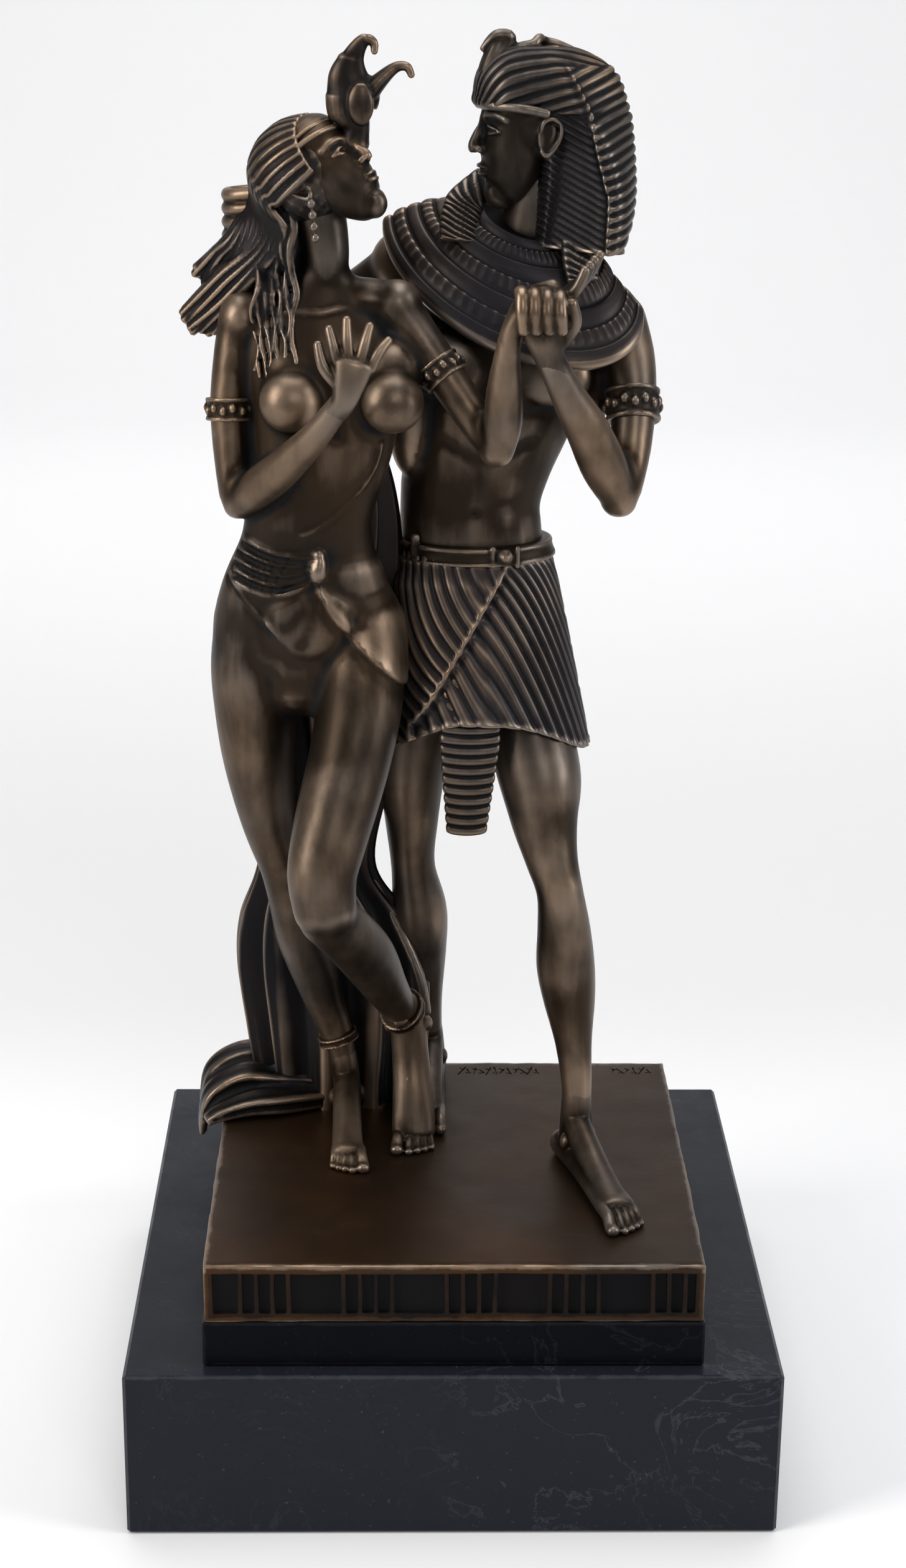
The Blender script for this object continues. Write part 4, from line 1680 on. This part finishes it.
class STATUE_OT_headcloth(bpy.types.Operator):
    """Model the striped headcloth, its lappets, brow band and cobra"""
    bl_idname = "statue.headcloth"
    bl_label = "Headcloth"

    def execute(self, context):
        stripes = context.scene.statue_carving.stripes
        cloth = mesh_object("headcloth", *headcloth(stripes))
        finish(cloth, cloth_bronze(), reach=5)
        flaps = mesh_object("headcloth_lappets", *joined(lappets(stripes)))
        finish(flaps, cloth_bronze(), reach=5)
        trim = melted("cobra_and_band", headcloth_trim(), 0.28, 3)
        finish(trim, skin_bronze())
        return {"FINISHED"}


class STATUE_OT_collar(bpy.types.Operator):
    """Model the broad collar"""
    bl_idname = "statue.collar"
    bl_label = "Broad collar"

    def execute(self, context):
        obj = mesh_object("broad_collar", *collar(context.scene.statue_carving.bands))
        finish(obj, kilt_bronze(), reach=5, gain=1.4)
        return {"FINISHED"}


class STATUE_OT_kilt(bpy.types.Operator):
    """Model the pleated kilt, its belt and the ribbed tongue"""
    bl_idname = "statue.kilt"
    bl_label = "Kilt"

    def execute(self, context):
        carving = context.scene.statue_carving
        wrap = mesh_object("pleated_kilt", *kilt(carving.pleats))
        finish(wrap, kilt_bronze(), reach=8, gain=1.6, level=0.55)
        girdle = melted("kilt_belt", belt(), 0.35, 2, 22000)
        finish(girdle, skin_bronze())
        tongue = mesh_object("ribbed_apron", *apron(carving.ribs))
        finish(tongue, cloth_bronze(), reach=4)
        return {"FINISHED"}


class STATUE_OT_jewellery(bpy.types.Operator):
    """Model the arm rings and ankle rings"""
    bl_idname = "statue.jewellery"
    bl_label = "Arm and ankle rings"

    def execute(self, context):
        obj = melted("arm_and_ankle_rings", bracelets(), 0.36, 1, 40000)
        finish(obj, skin_bronze())
        return {"FINISHED"}


class STATUE_OT_hair(bpy.types.Operator):
    """Model her hair, its brow band and the crown piece"""
    bl_idname = "statue.hair"
    bl_label = "Hair and crown"

    def execute(self, context):
        hair = melted("hair", hair_cap() + swept_hair() + far_hair() + breast_locks(), 0.34, 1, 100000)
        finish(hair, cloth_bronze(), reach=5)
        top = melted("crown_piece", crown() + brow_band() + ear_beads(), 0.28, 3, 30000)
        finish(top, cloth_bronze())
        return {"FINISHED"}


class STATUE_OT_drapery(bpy.types.Operator):
    """Model the cloth behind the legs and its end over the base"""
    bl_idname = "statue.drapery"
    bl_label = "Drapery"

    def execute(self, context):
        fall = mesh_object("drapery_fall", *drapery(context.scene.statue_carving.folds))
        finish(fall, cloth_bronze(), reach=6)
        pool = melted("drapery_pool", cloth_pool(), 0.5, 4, 28000)
        finish(pool, cloth_bronze())
        return {"FINISHED"}


def add_block(name, centre, size, edge):
    """A block with softened arrises, from the cube that Blender adds."""
    deselect_all()
    bpy.ops.mesh.primitive_cube_add(size=1.0, location=centre)
    obj = bpy.context.active_object
    obj.name = name
    obj.data.name = name
    obj.scale = size
    bpy.ops.object.transform_apply(location=True, rotation=True, scale=True)
    if edge > 0:
        apply_modifier(obj, "BEVEL", width=edge, segments=3, limit_method="ANGLE")
    return obj


def box_of(node):
    low, high = (np.array(corner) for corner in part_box(node))
    return (low + high) / 2, high - low


BASE_H = 0.0144
BASE_W = 0.1145
BASE_D = 0.1085
BASE_FRONT = -0.0716
FRIEZE_LOW = 0.0020
FRIEZE_HIGH = 0.0022
FRIEZE_DEPTH = 0.0011
BAR_W = 0.0011
BAR_PITCH = 0.0037
BARS_IN_GROUP = 4
GROUP_PITCH = 0.0236
GROUP_SHIFT = 0.0038
CORNER_POST = 0.0020


def pocket_spans(length):
    """The sunk spans between the bars along one face."""
    reach = length / 2 - CORNER_POST - BAR_W
    groups = int(length // GROUP_PITCH) + 1
    marks = [-length / 2 + CORNER_POST]
    for g in range(groups):
        mid = (g - (groups - 1) / 2) * GROUP_PITCH + GROUP_SHIFT
        for k in range(BARS_IN_GROUP):
            x = mid + (k - (BARS_IN_GROUP - 1) / 2) * BAR_PITCH
            if abs(x) + BAR_W / 2 < reach:
                marks += [x - BAR_W / 2, x + BAR_W / 2]
    marks.append(length / 2 - CORNER_POST)
    return list(zip(marks[0::2], marks[1::2]))


def join_into(name, objs):
    deselect_all()
    for obj in objs:
        obj.select_set(True)
    bpy.context.view_layer.objects.active = objs[0]
    bpy.ops.object.join()
    obj = bpy.context.active_object
    obj.name = name
    obj.data.name = name
    deselect_all()
    return obj


MARK_ROWS = ((0.0036, 12, 0.00178), (0.0436, 6, 0.00186))
MARK_Y = 0.0318
MARK_WIDTH = 0.00042
MARK_DEPTH = 0.00035


def scratched_marks():
    """Cutters for two rows of shallow strokes near the back edge; they spell nothing."""
    out = []
    for row, (first, count, pitch) in enumerate(MARK_ROWS):
        for k in range(count):
            turn = math.radians((-24, 14, -8, 32, -16, 4)[(k + 2 * row) % 6])
            length = (0.0052, 0.0028, 0.0040, 0.0024, 0.0046)[(k + row) % 5]
            for angle, size, shift in ((turn, length, 0.0), (turn + 1.3, 0.0016, 0.0011 * (-1)**k)):
                obj = add_block("mark", (0, 0, 0), (size, MARK_WIDTH, 2 * MARK_DEPTH), 0)
                obj.data.transform(Matrix.Translation((first + pitch * k, MARK_Y + shift, BASE_TOP))
                                   @ Matrix.Rotation(math.pi / 2 + angle, 4, "Z"))
                out.append(obj)
    return out


CAST_STEP = 0.0022
CAST_WOBBLE = 0.00026
CAST_SCALE = 130.0
CAST_SEED = 7


def hand_cast(obj):
    """Cuts a block into a fine grid and lets its faces wander a little, as cast metal does."""
    noise.seed_set(CAST_SEED)
    mesh = bmesh.new()
    mesh.from_mesh(obj.data)
    low = [min(v.co[k] for v in mesh.verts) for k in range(3)]
    high = [max(v.co[k] for v in mesh.verts) for k in range(3)]
    for k in (0, 1):
        count = int((high[k] - low[k]) / CAST_STEP)
        for m in range(1, count):
            place = Vector((0, 0, 0))
            place[k] = low[k] + (high[k] - low[k]) * m / count
            normal = Vector((0, 0, 0))
            normal[k] = 1
            parts = mesh.verts[:] + mesh.edges[:] + mesh.faces[:]
            bmesh.ops.bisect_plane(mesh, geom=parts, dist=1e-7, plane_co=place, plane_no=normal)
    for v in mesh.verts:
        slow = noise.noise_vector(v.co * CAST_SCALE)
        quick = noise.noise_vector(v.co * CAST_SCALE * 4)
        move = (slow + 0.35 * quick) * CAST_WOBBLE
        top = 0.35 if v.co.z > high[2] - 1e-5 else 1.0
        foot = 0.0 if v.co.z < low[2] + 1e-5 else 1.0
        v.co += Vector((move.x, move.y, move.z * top * foot))
    bmesh.ops.triangulate(mesh, faces=mesh.faces[:])
    mesh.to_mesh(obj.data)
    mesh.free()


class STATUE_OT_base(bpy.types.Operator):
    """Model the bronze base with its frieze of bars and the scratched marks at the back"""
    bl_idname = "statue.base"
    bl_label = "Bronze base"

    def execute(self, context):
        look = context.scene.statue_bronze
        mid_y = BASE_FRONT + BASE_D / 2
        mid_z = BASE_TOP - BASE_H / 2
        obj = add_block("bronze_base", (0, mid_y, mid_z), (BASE_W, BASE_D, BASE_H), 0)
        low = BASE_TOP - BASE_H + FRIEZE_LOW
        high = BASE_TOP - FRIEZE_HIGH
        cutters = []
        for nx, ny, length, reach in ((0, -1, BASE_W, BASE_D / 2), (0, 1, BASE_W, BASE_D / 2),
                                      (-1, 0, BASE_D, BASE_W / 2), (1, 0, BASE_D, BASE_W / 2)):
            plain = [(-length / 2 + CORNER_POST, length / 2 - CORNER_POST)]
            for a, b in plain if ny > 0 else pocket_spans(length):
                thick = 2 * FRIEZE_DEPTH
                mid = (a + b) / 2
                if ny:
                    centre, size = (mid, mid_y + ny * reach, (low + high) / 2), (b - a, thick, high - low)
                else:
                    centre, size = (nx * reach, mid_y + mid, (low + high) / 2), (thick, b - a, high - low)
                cutters.append(add_block("pocket", centre, size, 0))
        for tools in (cutters, scratched_marks()):
            cutter = join_into("tools", tools)
            apply_modifier(obj, "BOOLEAN", operation="DIFFERENCE", solver="EXACT", use_self=True, object=cutter)
            bpy.data.objects.remove(cutter, do_unlink=True)
            if tools is cutters:
                apply_modifier(obj, "BEVEL", width=0.0003, segments=2, limit_method="ANGLE")
        hand_cast(obj)
        mat = base_material((0, mid_y, mid_z), (BASE_W / 2, BASE_D / 2, BASE_H / 2), tuple(look.hollow),
                            tuple(look.base), tuple(look.bright))
        settle(obj, mat, 35)
        return {"FINISHED"}


class STATUE_OT_marble(bpy.types.Operator):
    """Give the marble step and plinth their veined stone"""
    bl_idname = "statue.marble"
    bl_label = "Marble step and plinth"

    def execute(self, context):
        look = context.scene.statue_marble
        for name, shade, gloss in (("marble_step", 0.30, 0.03), ("marble_plinth", 1.0, 0.13)):
            centre, size = box_of(name)
            mat = marble_material(name + "_stone", tuple(centre), tuple(size / 2),
                                  tuple(shade * c for c in look.stone[:3]) + (1.0,),
                                  tuple(shade * c for c in look.vein[:3]) + (1.0,), gloss)
            node = bpy.data.objects[name]
            for slot in node.material_slots:
                slot.material = mat
        return {"FINISHED"}


CAMERA_PLACE = (-0.012634, -0.617290, 0.374672)
CAMERA_RIGHT = (0.99980942, -0.01722429, 0.00918939)
CAMERA_UP = (-0.00300191, 0.32947172, 0.94416067)
CAMERA_AHEAD = (0.01929014, 0.94400832, -0.32935722)
CAMERA_LENS = 41.493


STUDIO_LIGHTS = (
    ("left", (-1.1, -0.55, 0.75), (0, 0, 0.18), (0.5, 1.0), 15.5, (1.0, 0.98, 0.95)),
    ("right", (1.15, -0.35, 0.65), (0, 0, 0.18), (0.4, 1.0), 9.5, (0.96, 0.98, 1.0)),
    ("front", (0.35, -1.4, 1.0), (0, 0, 0.18), (0.6, 0.6), 5.5, (1.0, 0.99, 0.97)),
    ("top", (0.0, 0.1, 1.6), (0, 0, 0), (1.2, 1.2), 18, (1, 1, 1)),
    ("backdrop", (0.0, 0.55, 1.3), (0, 1.8, 0.4), (2.0, 0.8), 11, (1, 1, 1)))


def add_area(name, place, target, size, power, colour):
    light = bpy.data.lights.new(name, "AREA")
    light.shape = "RECTANGLE"
    light.size, light.size_y = size
    light.energy = power
    light.color = colour
    obj = bpy.data.objects.new(name, light)
    bpy.context.scene.collection.objects.link(obj)
    obj.location = place
    obj.rotation_euler = (Vector(target) - Vector(place)).to_track_quat("-Z", "Y").to_euler()
    return obj


def sweep(mat):
    """A pale floor that curves up into a backdrop."""
    profile = [(-3.0, 0.0), (1.2, 0.0)]
    for k in range(1, 13):
        a = math.pi / 2 * k / 12
        profile.append((1.2 + 0.8 * math.sin(a), 0.8 * (1 - math.cos(a))))
    profile.append((2.0, 4.0))
    verts = [(x, y, z) for x in (-4.0, 4.0) for y, z in profile]
    n = len(profile)
    faces = [(i, n + i, n + i + 1, i + 1) for i in range(n - 1)]
    obj = mesh_object("floor_and_backdrop", verts, faces)
    obj.data.materials.append(mat)
    for poly in obj.data.polygons:
        poly.use_smooth = True
    return obj


class STATUE_OT_stage(bpy.types.Operator):
    """Set the pale floor, the soft lights and the camera"""
    bl_idname = "statue.stage"
    bl_label = "Floor, lights and camera"

    def execute(self, context):
        look = context.scene.statue_stage
        mat, tree, shader = new_material("floor_paint", 0.6, 0.0)
        coords = tree.nodes.new("ShaderNodeTexCoord").outputs["Object"]
        cloud = noise_node(tree, coords, 1.5, 2.0, 0.5)
        tone = mix_colour(tree, cloud, tuple(look.floor), tuple(0.98 * c for c in look.floor[:3]) + (1.0,))
        place = tree.nodes.new("ShaderNodeSeparateXYZ")
        link(tree, coords, place.inputs[0])
        near = range_node(tree, place.outputs["Y"], 0.05, 0.25, 0.86, 0.685)
        far = range_node(tree, place.outputs["Y"], 0.30, 1.20, 0.0, 0.315)
        level = tree.nodes.new("ShaderNodeCombineColor")
        for socket in level.inputs[:3]:
            link(tree, math_node(tree, "ADD", near, far), socket)
        tone = mix_colour(tree, 1.0, tone, level.outputs[0], "MULTIPLY")
        link(tree, tone, shader.inputs["Base Color"])
        sweep(mat)
        power = look.strength
        for name, place, target, size, watts, colour in STUDIO_LIGHTS:
            add_area(name, place, target, size, watts * power, colour)
        world = bpy.data.worlds.new("studio")
        context.scene.world = world
        world.use_nodes = True
        world.node_tree.nodes["Background"].inputs["Color"].default_value = (0.97, 0.98, 1.0, 1.0)
        world.node_tree.nodes["Background"].inputs["Strength"].default_value = 0.12 * power
        context.scene.view_settings.view_transform = "Standard"
        cam = bpy.data.cameras.new("photo_camera")
        cam.sensor_fit = "VERTICAL"
        cam.sensor_height = 24.0
        cam.lens = CAMERA_LENS
        cam.clip_start = 0.01
        obj = bpy.data.objects.new("photo_camera", cam)
        context.scene.collection.objects.link(obj)
        back = [-c for c in CAMERA_AHEAD]
        obj.matrix_world = Matrix([
            (CAMERA_RIGHT[k], CAMERA_UP[k], back[k], CAMERA_PLACE[k]) for k in range(3)] + [(0, 0, 0, 1)])
        context.scene.camera = obj
        return {"FINISHED"}


STEPS = (STATUE_OT_finishes, STATUE_OT_man, STATUE_OT_woman, STATUE_OT_ends, STATUE_OT_heads, STATUE_OT_headcloth,
         STATUE_OT_collar, STATUE_OT_kilt, STATUE_OT_jewellery, STATUE_OT_hair, STATUE_OT_drapery,
         STATUE_OT_base, STATUE_OT_marble, STATUE_OT_stage)
GROUPS = (StatueBronze, StatueMarble, StatueCarving, StatueStage)


class STATUE_PT_panel(bpy.types.Panel):
    """The steps that build the statue"""
    bl_idname = "STATUE_PT_panel"
    bl_label = "Statue"
    bl_space_type = "VIEW_3D"
    bl_region_type = "UI"
    bl_category = "Statue"

    def draw(self, context):
        layout = self.layout
        for title, name in (("Bronze", "statue_bronze"), ("Marble", "statue_marble"),
                            ("Carving", "statue_carving"), ("Stage", "statue_stage")):
            box = layout.box()
            box.label(text=title)
            group = getattr(context.scene, name)
            for key in group.__annotations__:
                box.prop(group, key)
        for step in STEPS:
            layout.operator(step.bl_idname)


def register():
    for cls in GROUPS + STEPS + (STATUE_PT_panel,):
        bpy.utils.register_class(cls)
    bpy.types.Scene.statue_bronze = bpy.props.PointerProperty(type=StatueBronze)
    bpy.types.Scene.statue_marble = bpy.props.PointerProperty(type=StatueMarble)
    bpy.types.Scene.statue_carving = bpy.props.PointerProperty(type=StatueCarving)
    bpy.types.Scene.statue_stage = bpy.props.PointerProperty(type=StatueStage)


def unregister():
    del bpy.types.Scene.statue_stage
    del bpy.types.Scene.statue_carving
    del bpy.types.Scene.statue_marble
    del bpy.types.Scene.statue_bronze
    for cls in reversed(GROUPS + STEPS + (STATUE_PT_panel,)):
        bpy.utils.unregister_class(cls)


def main():
    register()
    bpy.ops.statue.finishes()
    bpy.ops.statue.man()
    bpy.ops.statue.woman()
    bpy.ops.statue.ends()
    bpy.ops.statue.heads()
    bpy.ops.statue.headcloth()
    bpy.ops.statue.collar()
    bpy.ops.statue.kilt()
    bpy.ops.statue.jewellery()
    bpy.ops.statue.hair()
    bpy.ops.statue.drapery()
    bpy.ops.statue.base()
    bpy.ops.statue.marble()
    bpy.ops.statue.stage()
    bpy.context.view_layer.update()
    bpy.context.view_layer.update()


if __name__ == "__main__":
    main()
